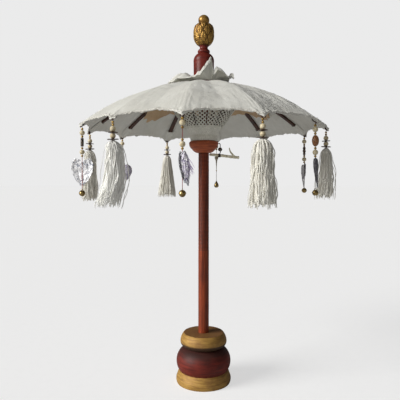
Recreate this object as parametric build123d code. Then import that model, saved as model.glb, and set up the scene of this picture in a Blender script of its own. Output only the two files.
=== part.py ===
from build123d import *
from math import atan2, cos, degrees, hypot, radians, sin, sqrt, tan
import os

# A Balinese table parasol: twelve ribs on a turned pole, standing in a turned wooden base.
# Millimetres. +Z is up, the origin is the middle of the base's underside, the front is -Y.

# ---- whole object -------------------------------------------------------------------
RIBS = 12
RIB_STEP = 360 / RIBS
FIRST_RIB = -67.7              # turn about Z of rib_01, counted from +X
HALF_GORE = RIB_STEP / 2
GORE_GAP = 0.1                 # degrees left open at each side of a cloth panel

# ---- canopy curve: every layer is an arc about one centre in the rib's own plane ------
CANOPY_R = 350.0               # outer face of the cloth
START_SLOPE = 5.0              # degrees below level at the crown
START_R = 13.0
START_Z = 503.5
CENTRE_X = START_R - CANOPY_R * sin(radians(START_SLOPE))
CENTRE_Z = START_Z - CANOPY_R * cos(radians(START_SLOPE))
CLOTH_T = 0.8
RIB_TOP_R = 347.6
RIB_T = 3.0
RIB_MID_R = RIB_TOP_R - RIB_T / 2
LINING_R = 343.2
LINING_T = 0.6
CLOTH_IN, CLOTH_OUT = 8.0, 201.0
LINING_IN, LINING_OUT = 98.0, 150.0

# ---- ribs, top notch and their pivot wire ---------------------------------------------
RIB_HINGE_X = 12.6
RIB_W = 7.0
RIB_END = 204.0
TIP_PIN_X = 201.5
TIP_PIN_R = 0.6
TIP_GAP = 2.2
TONGUE_W = 2.6
SLIT_W = 3.2
WIRE_R = 0.6
EYE_R = 0.7
BOSS_R = 2.4
SLOT_W = 3.4
SLOT_IN, SLOT_OUT = 55.0, 90.0
NOTCH_R = 16.0
NOTCH_T = 8.0
NOTCH_CORE_R = 9.5

# ---- struts and runner ----------------------------------------------------------------
STRUT_HINGE = (14.5, 409.0)
STRUT_JOINT_X = 70.0
STRUT_W = 5.0
STRUT_H = 5.0
STRUT_TONGUE = 18.0
RUNNER_BORE_R = 9.3
RUNNER_HEAD_R = 18.5
RUNNER_HEAD_Z = (405.0, 413.0)
RUNNER_CORE_R = 11.4
BASKET_OFFSET = 3.1
BASKET_T = 0.8
BASKET_R = 24.0
BASKET_TOP = 78.0              # along the strut, from its hinge

# ---- pole, base and finial --------------------------------------------------------------
POLE_R = 9.0
POLE_FOOT_Z = 22.0
SHOULDER_Z = 493.8
TENON_R = 6.95
TENON_TOP_Z = 540.0
SOCKET_R = 9.05
FOOT_TOP_Z = 20.0
DRUM_TOP_Z = 59.0
CAP_TOP_Z = 82.0
FINIAL_FOOT_Z = 504.6
NECK_TOP_Z = 566.0
SPIGOT_R = 3.5
SPIGOT_TOP_Z = 576.0
CONE_TOP_Z = 603.3
FINIAL_TOP_Z = 618.6
BALL_R = 9.3

# ---- hanging strands, measured down from the pin at the rib's end ------------------------
LOOP_R = 1.6
LOOP_WIRE_R = 0.45
THREAD_R = 0.4
TASSEL_TOP = 30.2
TASSEL_LENGTH = 91.0
SHELL_MID = 74.0
SHELL_HALF = 22.5
BELL_MID = 103.0
BELL_R = 4.7

# ---- locking peg ---------------------------------------------------------------------------
PEG_START = (9.4, 382.2)
PEG_LENGTH = 51.0
PEG_R = 1.9
PEG_DROP = 5.5                 # degrees below level
TETHER_X = 28.8                # the tether's bead hangs clear of the runner
LASHING_AT = 17.0


def on_arc(radius, x):
    """Point of a canopy layer, in the rib's plane, at distance x from the pole's axis."""
    return (x, CENTRE_Z + sqrt(radius ** 2 - (x - CENTRE_X) ** 2))


def layer_arc(radius, x_from, x_to, squeeze=1.0):
    """Arc of one layer; squeeze shortens x for a section through the middle of a gore."""
    points = [on_arc(radius, x) for x in (x_from, (x_from + x_to) / 2, x_to)]
    return ThreePointArc(*[(x * squeeze, z) for x, z in points])


def layer_face(radius, thickness, x_from, x_to, squeeze=1.0):
    """Closed section of one layer on the XZ plane."""
    top = layer_arc(radius, x_from, x_to, squeeze)
    low = layer_arc(radius - thickness, x_from, x_to, squeeze)
    return make_face(Plane.XZ * (top + low + Line(top @ 0, low @ 0) + Line(top @ 1, low @ 1)))


def turned(points):
    """Solid of revolution about Z from an outline of (radius, height) points."""
    return revolve(make_face(Plane.XZ * Polyline(*points, close=True)), Axis.Z)


def across(radius, width, x, z):
    """Cylinder along Y at (x, z)."""
    return Pos(x, 0, z) * Rot(90, 0, 0) * Cylinder(radius, width)


def ring_tube(radius, z):
    """Pivot wire: a ring of straight lengths, one across each slit, joined by round corners."""
    length = 2 * radius * tan(radians(HALF_GORE))
    corner = radius / cos(radians(HALF_GORE))
    pieces = []
    for index in range(RIBS):
        turn = Rot(0, 0, FIRST_RIB + index * RIB_STEP)
        pieces.append(turn * across(WIRE_R, length, radius, z))
        pieces.append(turn * Rot(0, 0, HALF_GORE) * Pos(corner, 0, z) * Sphere(WIRE_R))
    return pieces[0].fuse(*pieces[1:])


def slits(x_from, x_to, z_from, z_to):
    """Radial slits, one for each rib or strut."""
    block = Box(x_to - x_from, SLIT_W, z_to - z_from)
    middle = Pos((x_from + x_to) / 2, 0, (z_from + z_to) / 2)
    return [Rot(0, 0, FIRST_RIB + index * RIB_STEP) * middle * block for index in range(RIBS)]


def wire_groove(radius, outer, z):
    """Groove round a slitted hub that the pivot wire lies in."""
    inner = radius - WIRE_R - 0.1
    height = 2 * (WIRE_R + 0.1)
    return Pos(0, 0, z) * (Cylinder(outer + 1, height) - Cylinder(inner, height))


# ---- base -------------------------------------------------------------------------------------
def base_foot():
    outline = Polyline((0, 0), (44.8, 0)) + ThreePointArc((44.8, 0), (46, 4.5), (44.2, 12.5))
    outline += ThreePointArc((44.2, 12.5), (42.7, 16.8), (40.4, FOOT_TOP_Z))
    outline += Polyline((40.4, FOOT_TOP_Z), (0, FOOT_TOP_Z), (0, 0))
    return revolve(make_face(Plane.XZ * outline), Axis.Z)


def base_drum():
    outline = Line((0, FOOT_TOP_Z), (40.4, FOOT_TOP_Z))
    outline += ThreePointArc((40.4, FOOT_TOP_Z), (45.6, 37), (30.5, DRUM_TOP_Z))
    outline += Polyline((30.5, DRUM_TOP_Z), (0, DRUM_TOP_Z), (0, FOOT_TOP_Z))
    drum = revolve(make_face(Plane.XZ * outline), Axis.Z)
    depth = DRUM_TOP_Z - POLE_FOOT_Z
    return drum - Pos(0, 0, POLE_FOOT_Z + depth / 2) * Cylinder(SOCKET_R, depth)


def base_cap():
    outline = Line((SOCKET_R, DRUM_TOP_Z), (30.5, DRUM_TOP_Z))
    outline += ThreePointArc((30.5, DRUM_TOP_Z), (37.2, 62.6), (39, 69))
    outline += ThreePointArc((39, 69), (36.9, 76.8), (33.2, CAP_TOP_Z))
    outline += Polyline((33.2, CAP_TOP_Z), (SOCKET_R, CAP_TOP_Z), (SOCKET_R, DRUM_TOP_Z))
    return revolve(make_face(Plane.XZ * outline), Axis.Z)


# ---- mast ----------------------------------------------------------------------------------------
def pole():
    return turned([(0, POLE_FOOT_Z), (POLE_R, POLE_FOOT_Z), (POLE_R, SHOULDER_Z), (TENON_R, SHOULDER_Z),
                   (TENON_R, TENON_TOP_Z), (0, TENON_TOP_Z)])


def top_notch():
    hinge_z = on_arc(RIB_MID_R, RIB_HINGE_X)[1]
    low, high = SHOULDER_Z, SHOULDER_Z + NOTCH_T
    disc = turned([(TENON_R, low), (NOTCH_R - 1, low), (NOTCH_R, low + 1), (NOTCH_R, high - 1),
                   (NOTCH_R - 1, high), (TENON_R, high)])
    disc = disc.cut(*slits(NOTCH_CORE_R, NOTCH_R + 2, low - 1, high + 1))
    disc = disc - wire_groove(RIB_HINGE_X, NOTCH_R, hinge_z)
    return Compound(children=[disc, ring_tube(RIB_HINGE_X, hinge_z)])


def crown_ruffle():
    """Gathered cloth round the foot of the finial, as one plain closed ring."""
    return turned([(18.2, 504.8), (56, 499.2), (57, 503), (38, 513), (24, 540), (18.2, 541)])


# ---- finial ----------------------------------------------------------------------------------------
def finial_base():
    """Turned bell, collar and neck, bored to sit on the pole's tenon."""
    bore = TENON_R + 0.1
    outline = Polyline((bore, FINIAL_FOOT_Z), (15.6, FINIAL_FOOT_Z), (17, 508), (17.3, 538))
    outline += ThreePointArc((17.3, 538), (16.1, 546.2), (11.6, 551.6))
    outline += Line((11.6, 551.6), (9, 553))
    outline += ThreePointArc((9, 553), (10.4, 556), (9, 559))
    outline += ThreePointArc((9, 559), (6.7, 562.4), (8.6, NECK_TOP_Z))
    outline += Polyline((8.6, NECK_TOP_Z), (SPIGOT_R, NECK_TOP_Z), (SPIGOT_R, SPIGOT_TOP_Z), (0, SPIGOT_TOP_Z))
    outline += Polyline((0, SPIGOT_TOP_Z), (0, TENON_TOP_Z), (bore, TENON_TOP_Z), (bore, FINIAL_FOOT_Z))
    return revolve(make_face(Plane.XZ * outline), Axis.Z)


def finial_gold():
    """Carved egg with full shoulders and a ball on top."""
    outline = Line((SPIGOT_R, NECK_TOP_Z), (8.6, NECK_TOP_Z))
    outline += ThreePointArc((8.6, NECK_TOP_Z), (14.6, 573.8), (17.5, 585))
    outline += ThreePointArc((17.5, 585), (15.2, 597), (7, CONE_TOP_Z))
    outline += Polyline((7, CONE_TOP_Z), (0, CONE_TOP_Z), (0, SPIGOT_TOP_Z))
    outline += Polyline((0, SPIGOT_TOP_Z), (SPIGOT_R, SPIGOT_TOP_Z), (SPIGOT_R, NECK_TOP_Z))
    egg = revolve(make_face(Plane.XZ * outline), Axis.Z)
    return egg.fuse(Pos(0, 0, FINIAL_TOP_Z - BALL_R) * Sphere(BALL_R))


# ---- ribs and canopy ----------------------------------------------------------------------------
def rib():
    """Curved flat rib: tongue and eye at the crown, long slot for its strut, forked tip with a pin."""
    hinge = on_arc(RIB_MID_R, RIB_HINGE_X)
    tip = on_arc(RIB_MID_R, TIP_PIN_X)
    band = extrude(layer_face(RIB_TOP_R, RIB_T, RIB_HINGE_X, RIB_END), RIB_W, both=True)
    half_tongue, half = TONGUE_W / 2, RIB_W / 2
    side = [(RIB_HINGE_X, half_tongue), (19, half_tongue), (23, half), (RIB_END - 4, half), (RIB_END, 3)]
    plan = make_face(Polyline(*side, *[(x, -y) for x, y in reversed(side)], close=True))
    body = band & Pos(0, 0, 400) * extrude(plan, 150)
    middle, length = (SLOT_IN + SLOT_OUT) / 2, SLOT_OUT - SLOT_IN
    body = body - Pos(middle, 0, 400) * extrude(SlotOverall(length, SLOT_W), 150)
    body = body - Pos(RIB_END, 0, 420) * Box(2 * (RIB_END - TIP_PIN_X + 3), TIP_GAP, 60)
    body = body.fuse(across(BOSS_R, TONGUE_W, *hinge)) - across(EYE_R, RIB_W, *hinge)
    pin_length = RIB_W - 2
    body = body - across(TIP_PIN_R, pin_length, *tip)
    return [body, across(TIP_PIN_R, pin_length, *tip)]


def half_panel(radius, thickness, x_from, x_to):
    """One layer between a rib's middle plane and the middle of the gore beside it."""
    section = layer_face(radius, thickness, x_from, x_to, cos(radians(HALF_GORE)))
    sheet = Rot(0, 0, HALF_GORE) * extrude(section, 80, both=True)
    reach = 260
    edge = radians(HALF_GORE - GORE_GAP)
    wedge = make_face(Polyline((0, 0), (reach, 0), (reach * cos(edge), reach * sin(edge)), close=True))
    return sheet & Pos(0, 0, 400) * extrude(wedge, 150)


def canopy_panel():
    """Cloth over one rib, from the middle of one gore to the next, and its strip of lining."""
    layers = []
    for half in (half_panel(CANOPY_R, CLOTH_T, CLOTH_IN, CLOTH_OUT),
                 half_panel(LINING_R, LINING_T, LINING_IN, LINING_OUT)):
        layers.append(half.fuse(half.mirror(Plane.XZ)))
    return layers


# ---- struts and runner -----------------------------------------------------------------------------
def strut_joint():
    return on_arc(RIB_MID_R, STRUT_JOINT_X)


def strut():
    """Bar from the runner to a rib: an eye at the foot, thin tongues at both ends."""
    foot, top = STRUT_HINGE, strut_joint()
    length = hypot(top[0] - foot[0], top[1] - foot[1])
    rise = degrees(atan2(top[1] - foot[1], top[0] - foot[0]))
    body_from, body_to = 11.5, length - STRUT_TONGUE
    bar = Pos((body_from + body_to) / 2, 0, 0) * Box(body_to - body_from, STRUT_W, STRUT_H)
    tongue = Pos(length / 2, 0, 0) * Box(length, TONGUE_W, STRUT_H - 0.4)
    bar = bar.fuse(tongue, across(BOSS_R, TONGUE_W, 0, 0), across(STRUT_H / 2 - 0.2, TONGUE_W, length, 0))
    bar = bar - across(EYE_R, STRUT_W, 0, 0)
    return [Pos(foot[0], 0, foot[1]) * Rot(0, -rise, 0) * bar]


def runner():
    """Turned ring that slides on the pole, with a slitted head for the struts and its pivot wire."""
    low, high = RUNNER_HEAD_Z
    outline = Line((RUNNER_BORE_R, 385), (12, 385))
    outline += ThreePointArc((12, 385), (16.6, 387.4), (19.8, 391))
    outline += ThreePointArc((19.8, 391), (23.4, 395), (24.7, 400.5))
    outline += ThreePointArc((24.7, 400.5), (24.2, 403), (22.5, 404.2))
    outline += Polyline((22.5, 404.2), (RUNNER_HEAD_R, low), (RUNNER_HEAD_R, high), (RUNNER_BORE_R, high),
                        (RUNNER_BORE_R, 385))
    body = revolve(make_face(Plane.XZ * outline), Axis.Z)
    body = body.cut(*slits(RUNNER_CORE_R, RUNNER_HEAD_R + 2, low + 0.6, high + 1))
    hinge_x, hinge_z = STRUT_HINGE
    body = body - (wire_groove(hinge_x, RUNNER_HEAD_R, hinge_z))
    return Compound(children=[body, ring_tube(hinge_x, hinge_z)])


def thread_basket():
    """Wound collar over the runner's head that opens into a net of threads under the struts."""
    foot, top = STRUT_HINGE, strut_joint()
    length = hypot(top[0] - foot[0], top[1] - foot[1])
    along = ((top[0] - foot[0]) / length, (top[1] - foot[1]) / length)

    def face(offset, radius):
        """Line below the struts, from the radius of the collar to the net's upper edge."""
        start = (foot[0] + offset * along[1], foot[1] - offset * along[0])
        rise = (radius - start[0]) / along[0]
        low = (radius, start[1] + rise * along[1])
        high = (start[0] + BASKET_TOP * along[0], start[1] + BASKET_TOP * along[1])
        return low, high

    outer_low, outer_high = face(BASKET_OFFSET + BASKET_T, BASKET_R)
    inner_low, inner_high = face(BASKET_OFFSET, BASKET_R - BASKET_T)
    collar_z = RUNNER_HEAD_Z[0]
    return turned([(BASKET_R - BASKET_T, collar_z), (BASKET_R, collar_z), outer_low, outer_high,
                   inner_high, inner_low])


# ---- locking peg -------------------------------------------------------------------------------------
def on_peg(part, distance):
    """Places a part, made along X, at a distance along the peg from its tip."""
    x, z = PEG_START
    return Pos(x, 0, z) * Rot(0, PEG_DROP, 0) * Pos(distance, 0, 0) * part


def locking_pin():
    """Whittled twig with the stub of a side branch."""
    twig = on_peg(Rot(0, 90, 0) * Cylinder(PEG_R, PEG_LENGTH), PEG_LENGTH / 2)
    twig = fillet(twig.edges(), 0.7)
    branch = on_peg(Rot(0, -28, 0) * Pos(0, 0, 7) * Cylinder(1.1, 14), PEG_LENGTH - 10)
    return twig.fuse(branch)


def pin_tether():
    """Cord from the runner's ring, through a bead, to a lashing round the peg."""
    lashing = on_peg(Rot(0, 90, 0) * (Cylinder(PEG_R + 1.1, 8) - Cylinder(PEG_R, 9)), LASHING_AT)
    tail = Pos(TETHER_X, 0, 385.4) * Cylinder(0.8, 6) - on_peg(Rot(0, 90, 0) * Cylinder(PEG_R, 20), LASHING_AT)
    bead_z, bead_r = 391.8, 3.6
    path = FilletPolyline((24.9, 0, 400), (TETHER_X, 0, 400), (TETHER_X, 0, bead_z + bead_r), radius=1.4)
    cord = sweep(Plane(origin=path @ 0, z_dir=path % 0) * Circle(0.8), path=path)
    return [lashing.fuse(tail), Pos(TETHER_X, 0, bead_z) * Sphere(bead_r), cord]


# ---- hanging strands ------------------------------------------------------------------------------------
def hanger(bottom):
    """Loop round the pin at the rib's end and the thread below it, hanging from the origin."""
    loop = Rot(90, 0, 0) * Torus(LOOP_R, LOOP_WIRE_R)
    return loop.fuse(thread(LOOP_R, bottom))


def thread(top, bottom):
    return Pos(0, 0, -(top + bottom) / 2) * Cylinder(THREAD_R, bottom - top)


def bead(middle, radius):
    return Pos(0, 0, -middle) * (Sphere(radius) - Cylinder(THREAD_R, 2 * radius + 1))


def disc(middle, radius, thickness):
    return Pos(0, 0, -middle) * (Cylinder(radius, thickness) - Cylinder(THREAD_R, thickness))


def barrel(middle, radius, length):
    shape = fillet(Cylinder(radius, length).edges(), min(radius, length / 2) * 0.8)
    return Pos(0, 0, -middle) * (shape - Cylinder(THREAD_R, length))


def tassel_strand():
    """Two gold beads, two wooden beads, two coconut discs and a cotton tassel."""
    solids = [hanger(TASSEL_TOP), bead(6.1, 1.8), bead(9.7, 1.8), bead(15.4, 3.9), disc(20.1, 6.8, 1.4)]
    solids += [bead(24.8, 3.9), disc(29.5, 7.9, 1.4)]
    bottom = TASSEL_TOP + TASSEL_LENGTH
    outline = [(0, -TASSEL_TOP), (6.5, -TASSEL_TOP), (10, -TASSEL_TOP - 8), (13, -TASSEL_TOP - 25), (19.5, -bottom),
               (0, -bottom)]
    return solids + [turned(outline)]


def shell_strand(width, thickness, face_turn, middle_piece):
    """Beads, a middle piece, a pendant shell and a jingle bell."""
    top, bottom = SHELL_MID - SHELL_HALF, SHELL_MID + SHELL_HALF
    solids = [hanger(top), bead(6.1, 1.8), bead(12, 4), bead(18.2, 1.8), bead(39.6, 1.8), bead(45.8, 3.9)]
    if middle_piece:
        solids.append(barrel(28.9, *middle_piece))
    outline = Plane.XZ * Ellipse(width / 2, SHELL_HALF + 1.5)
    shell = extrude(outline, thickness / 2, both=True) & Box(width + 2, thickness + 2, 2 * SHELL_HALF)
    solids.append(Rot(0, 0, face_turn) * Pos(0, 0, -SHELL_MID) * shell)
    solids.append(thread(bottom, BELL_MID - BELL_R))
    slit = Pos(0, 0, -BELL_R) * Box(1, 2 * BELL_R, BELL_R)
    solids.append(Pos(0, 0, -BELL_MID) * (Sphere(BELL_R) - slit))
    return solids


# Shell strands by rib: shell width and thickness, turn of its face, and the middle piece's radius
# and length where there is one.
SHELL_STRANDS = {
    2: (8.0, 3.0, 35, (4.8, 15.0)),
    4: (11.0, 4.0, 60, (2.6, 17.0)),
    6: (8.0, 3.0, 0, None),
    8: (13.0, 5.0, 50, (1.5, 14.0)),
    10: (34.0, 4.0, 0, (2.4, 13.0)),
    12: (9.0, 3.0, 90, (1.2, 16.0)),
}


def write(name, solids, turn=0.0):
    shape = Compound(children=list(solids)) if isinstance(solids, list) else solids
    export_step(Rot(0, 0, turn) * shape, f"parts/{name}.step")


def main():
    os.makedirs("parts", exist_ok=True)
    write("base_foot", base_foot())
    write("base_drum", base_drum())
    write("base_cap", base_cap())
    write("pole", pole())
    write("top_notch", top_notch())
    write("crown_ruffle", crown_ruffle())
    write("finial_base", finial_base())
    write("finial_gold", finial_gold())
    write("runner", runner())
    write("thread_basket", thread_basket())
    write("locking_pin", locking_pin())
    write("pin_tether", pin_tether())
    tip_x, tip_z = on_arc(RIB_MID_R, TIP_PIN_X)
    for number in range(1, RIBS + 1):
        turn = FIRST_RIB + (number - 1) * RIB_STEP
        write(f"rib_{number:02d}", rib(), turn)
        write(f"strut_{number:02d}", strut(), turn)
        write(f"canopy_panel_{number:02d}", canopy_panel(), turn)
        solids = shell_strand(*SHELL_STRANDS[number]) if number in SHELL_STRANDS else tassel_strand()
        write(f"strand_{number:02d}", [Pos(tip_x, 0, tip_z) * solid for solid in solids], turn)


main()
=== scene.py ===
import random
from math import cos, degrees, exp, hypot, pi, radians, sin, sqrt, tan

import bmesh
import bpy
import numpy as np
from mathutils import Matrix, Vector, noise


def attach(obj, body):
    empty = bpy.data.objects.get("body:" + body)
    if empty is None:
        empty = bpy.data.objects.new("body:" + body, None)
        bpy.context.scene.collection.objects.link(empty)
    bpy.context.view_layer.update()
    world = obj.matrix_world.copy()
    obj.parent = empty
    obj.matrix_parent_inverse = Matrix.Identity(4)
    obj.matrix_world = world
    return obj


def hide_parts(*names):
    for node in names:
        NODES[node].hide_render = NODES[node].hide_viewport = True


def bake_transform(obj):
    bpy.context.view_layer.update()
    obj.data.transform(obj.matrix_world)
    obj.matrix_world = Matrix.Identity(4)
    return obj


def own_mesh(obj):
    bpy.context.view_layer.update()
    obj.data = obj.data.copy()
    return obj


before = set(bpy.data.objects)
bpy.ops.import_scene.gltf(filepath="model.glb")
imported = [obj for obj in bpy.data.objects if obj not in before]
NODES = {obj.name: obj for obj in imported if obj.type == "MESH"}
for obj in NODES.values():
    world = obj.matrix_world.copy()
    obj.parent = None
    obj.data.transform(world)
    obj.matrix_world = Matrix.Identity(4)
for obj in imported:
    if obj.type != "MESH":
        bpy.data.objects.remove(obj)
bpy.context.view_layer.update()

# Lengths below are millimetres in the CAD's frame: +Z up, the front is -Y. Azimuths are degrees from +X.
MM = 0.001
BLACK, WHITE = (0, 0, 0), (1, 1, 1)

# ---- the CAD's own measures ----
RIBS = 12
RIB_STEP = 360 / RIBS
FIRST_RIB = -67.7
HALF_GORE = RIB_STEP / 2
CANOPY_R = 350.0
START_SLOPE = 5.0
START_R = 13.0
START_Z = 503.5
CENTRE_X = START_R - CANOPY_R * sin(radians(START_SLOPE))
CENTRE_Z = START_Z - CANOPY_R * cos(radians(START_SLOPE))
RIB_MID_R = 346.1
RIB_LOW_R = 344.6
LINING_R = 343.2
LINING_IN = 98
TIP_PIN_X = 201.5
STRUT_HINGE = (14.5, 409.0)
STRUT_JOINT_X = 70.0
POLE_R = 9.0
POLE_FOOT_Z = 22.0
SHOULDER_Z = 493.8
PEG_START = (9.4, 382.2)
PEG_LENGTH = 51.0
PEG_DROP = 5.5
TETHER_X = 27.8


def arc_z(radius, x):
    """Height of a canopy layer at distance x from the axis, along a rib."""
    return float(CENTRE_Z + sqrt(radius ** 2 - (x - CENTRE_X) ** 2))


def rib_azimuth(number):
    return FIRST_RIB + (number - 1) * RIB_STEP


def rib_angle(number):
    return radians(rib_azimuth(number))


def on_circle(azimuth):
    return cos(radians(azimuth)), sin(radians(azimuth))


def from_rib(azimuth):
    """Degrees from the nearest rib."""
    return (azimuth - FIRST_RIB + HALF_GORE) % RIB_STEP - HALF_GORE


def chord(offset):
    """Radius of a straight line from rib to rib, at degrees from one rib, as a share of its radius at the rib."""
    return cos(radians(HALF_GORE)) / cos(radians(HALF_GORE - abs(offset)))


def turned_to(points, angle):
    """Points turned about Z."""
    x, y, z = np.moveaxis(np.asarray(points, float), -1, 0)
    c, s = cos(angle), sin(angle)
    return np.stack([x * c - y * s, x * s + y * c, z], axis=-1)


def times(colour, share):
    return tuple(share * c for c in colour)


# ---- camera, light and floor ----
PHOTO_WIDTH = 400
FOCAL_PIXELS = 468.0
SENSOR = 36.0
FLOOR_HALF = 40.0


def add_object(name, data):
    made = bpy.data.objects.new(name, data)
    bpy.context.scene.collection.objects.link(made)
    return made


def make_camera():
    data = bpy.data.cameras.new("camera")
    data.sensor_width = SENSOR
    data.lens = FOCAL_PIXELS / PHOTO_WIDTH * SENSOR
    data.clip_start = 0.01
    data.shift_y = -0.044
    camera = add_object("camera", data)
    camera.location = (0.0, -0.793, 0.335)
    camera.rotation_euler = (radians(90), radians(-0.05), radians(0.45))
    bpy.context.scene.camera = camera


def make_sun(name, direction, strength, angle, color):
    data = bpy.data.lights.new(name, "SUN")
    data.energy = strength
    data.angle = radians(angle)
    data.color = color
    add_object(name, data).rotation_euler = Vector(direction).to_track_quat("-Z", "Y").to_euler()


def make_world():
    world = bpy.data.worlds.new("studio")
    world.use_nodes = True
    tree = world.node_tree
    tree.nodes.clear()
    mix = tree.nodes.new("ShaderNodeMixShader")
    tree.links.new(tree.nodes.new("ShaderNodeLightPath").outputs["Is Camera Ray"], mix.inputs[0])
    for socket, colour, strength in ((1, (0.97, 0.98, 1.0, 1), 0.08), (2, (0.83, 0.83, 0.83, 1), 1.0)):
        light = tree.nodes.new("ShaderNodeBackground")
        light.inputs["Color"].default_value = colour
        light.inputs["Strength"].default_value = strength
        tree.links.new(light.outputs[0], mix.inputs[socket])
    tree.links.new(mix.outputs[0], tree.nodes.new("ShaderNodeOutputWorld").inputs[0])
    bpy.context.scene.world = world


def make_stage():
    """Soft light, and a floor that the camera sees paler than the light does, to meet the plain background."""
    bpy.context.scene.view_settings.view_transform = "Standard"
    make_world()
    make_sun("key", (0.85, 0.36, -0.42), 3.5, 34, (1.0, 0.99, 0.97))
    make_sun("fill", (-0.05, 0.85, -0.35), 0.18, 45, (1.0, 1.0, 1.0))
    mesh = bpy.data.meshes.new("floor")
    corners = [(x * FLOOR_HALF, y * FLOOR_HALF, 0) for x, y in ((-1, -1), (1, -1), (1, 1), (-1, 1))]
    mesh.from_pydata(corners, [], [(0, 1, 2, 3)])
    f = Finish("floor", 0.9, Specular_IOR_Level=0.0, Emission_Color=(1, 1, 1, 1))
    pale = f.ramp(f.noise(f.place(), 60, 4), (0.3, times(WHITE, 0.39)), (0.7, times(WHITE, 0.41)))
    seen = f.node("ShaderNodeLightPath", {}).outputs["Is Camera Ray"]
    f.colour(f.mix(seen, times(WHITE, 0.67), pale))
    f.tree.links.new(f.math("MULTIPLY", seen, 0.60), f.shader.inputs["Emission Strength"])
    mesh.materials.append(f.material)
    add_object("floor", mesh)


# ---- materials ----
class Finish:
    """A procedural material whose nodes feed the Principled shader."""

    def __init__(self, name, roughness, **sockets):
        self.material = bpy.data.materials.new(name)
        self.material.use_nodes = True
        self.tree = self.material.node_tree
        self.shader = self.tree.nodes["Principled BSDF"]
        for socket, value in {"Roughness": roughness, **sockets}.items():
            self.shader.inputs[socket.replace("_", " ")].default_value = value

    def node(self, kind, values, **settings):
        node = self.tree.nodes.new(kind)
        for key, value in settings.items():
            setattr(node, key, value)
        for key, value in values.items():
            if isinstance(value, bpy.types.NodeSocket):
                self.tree.links.new(value, node.inputs[key])
            else:
                node.inputs[key].default_value = value
        return node

    def place(self, scale=(1, 1, 1), turn=0.0, source="Object"):
        """Texture position: stretched by scale after a turn about Z."""
        position = self.node("ShaderNodeTexCoord", {}).outputs[source]
        if turn:
            position = self.node("ShaderNodeMapping", {"Vector": position, "Rotation": (0, 0, turn)}).outputs[0]
        if scale != (1, 1, 1):
            position = self.node("ShaderNodeMapping", {"Vector": position, "Scale": scale}).outputs[0]
        return position

    def noise(self, position, scale, detail=3.0, rough=0.55):
        values = {"Vector": position, "Scale": scale, "Detail": detail, "Roughness": rough}
        return self.node("ShaderNodeTexNoise", values).outputs["Fac"]

    def wave(self, position, pitch, direction, distortion=0.0):
        """Waves a pitch in millimetres apart."""
        values = {"Vector": position, "Scale": 2 * pi / (20 * pitch * MM), "Distortion": distortion, "Detail": 1.0}
        return self.node("ShaderNodeTexWave", values, bands_direction=direction).outputs["Fac"]

    def attribute(self, name):
        return self.node("ShaderNodeAttribute", {}, attribute_name=name).outputs["Fac"]

    def upward(self):
        """How far the surface faces up."""
        normal = self.node("ShaderNodeNewGeometry", {}).outputs["Normal"]
        return self.node("ShaderNodeSeparateXYZ", {"Vector": normal}).outputs["Z"]

    def math(self, operation, a, b=0.0):
        return self.node("ShaderNodeMath", {0: a, 1: b}, operation=operation).outputs[0]

    def ramp(self, value, *stops):
        node = self.node("ShaderNodeValToRGB", {"Fac": value})
        elements = node.color_ramp.elements
        while len(elements) < len(stops):
            elements.new(0.5)
        for element, (position, colour) in zip(elements, stops):
            element.position = position
            element.color = (*colour, 1)
        return node.outputs["Color"]

    def mask(self, value, off, on):
        """Black where value is at off, white where it is at on."""
        return self.ramp(value, *sorted([(off, BLACK), (on, WHITE)]))

    def mix(self, factor, a, b):
        values = {key: value if isinstance(value, bpy.types.NodeSocket) else (*value, 1)
                  for key, value in ((6, a), (7, b))}
        return self.node("ShaderNodeMix", {0: factor, **values}, data_type="RGBA").outputs[2]

    def tint(self, base, colour, mask, share=None):
        """base, turned to colour where mask is white, by a share."""
        return self.mix(self.math("MULTIPLY", mask, share) if share else mask, base, colour)

    def colour(self, socket):
        self.tree.links.new(socket, self.shader.inputs["Base Color"])

    def rough(self, value, low, high):
        """Roughness that follows a 0 to 1 value."""
        node = self.node("ShaderNodeMapRange", {0: value, 3: low, 4: high})
        self.tree.links.new(node.outputs[0], self.shader.inputs["Roughness"])

    def bump(self, height, strength, depth):
        """Bump of a height in millimetres, added to any bump already there."""
        values = {"Height": height, "Strength": strength, "Distance": depth * MM}
        socket = self.shader.inputs["Normal"]
        if socket.is_linked:
            values["Normal"] = socket.links[0].from_socket
        self.tree.links.new(self.node("ShaderNodeBump", values).outputs[0], socket)


def woven(name, light, dark, pitch, stain=None):
    """Plain-woven cotton. pitch is the thread spacing, on the piece's UV map in metres."""
    f = Finish(name, 0.9, Sheen_Weight=0.2, Sheen_Roughness=0.5, Specular_IOR_Level=0.2)
    position = f.place()
    cloudy = f.noise(position, 14, 5, 0.6)
    base = f.ramp(cloudy, (0.36, dark), (0.64, light))
    if stain:
        base = f.tint(base, stain, f.mask(f.noise(position, 5.5, 6, 0.65), 0.56, 0.74), 0.45)
    slubs = f.math("ADD", *[f.noise(f.place(scale, source="UV"), 60, 3) for scale in ((1, 18, 1), (18, 1, 1))])
    f.colour(f.tint(base, times(dark, 0.9), f.mask(slubs, 0.62, 0.42)))
    f.bump(slubs, 0.5, 0.25)
    f.bump(f.math("ADD", *[f.wave(f.place(source="UV"), pitch, axis) for axis in "XY"]), 0.55, 0.10)
    f.bump(f.noise(position, 130, 4), 0.55, 0.7)
    f.bump(f.noise(position, 38, 3), 0.5, 1.6)
    f.rough(cloudy, 0.82, 0.96)
    return f.material


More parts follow.
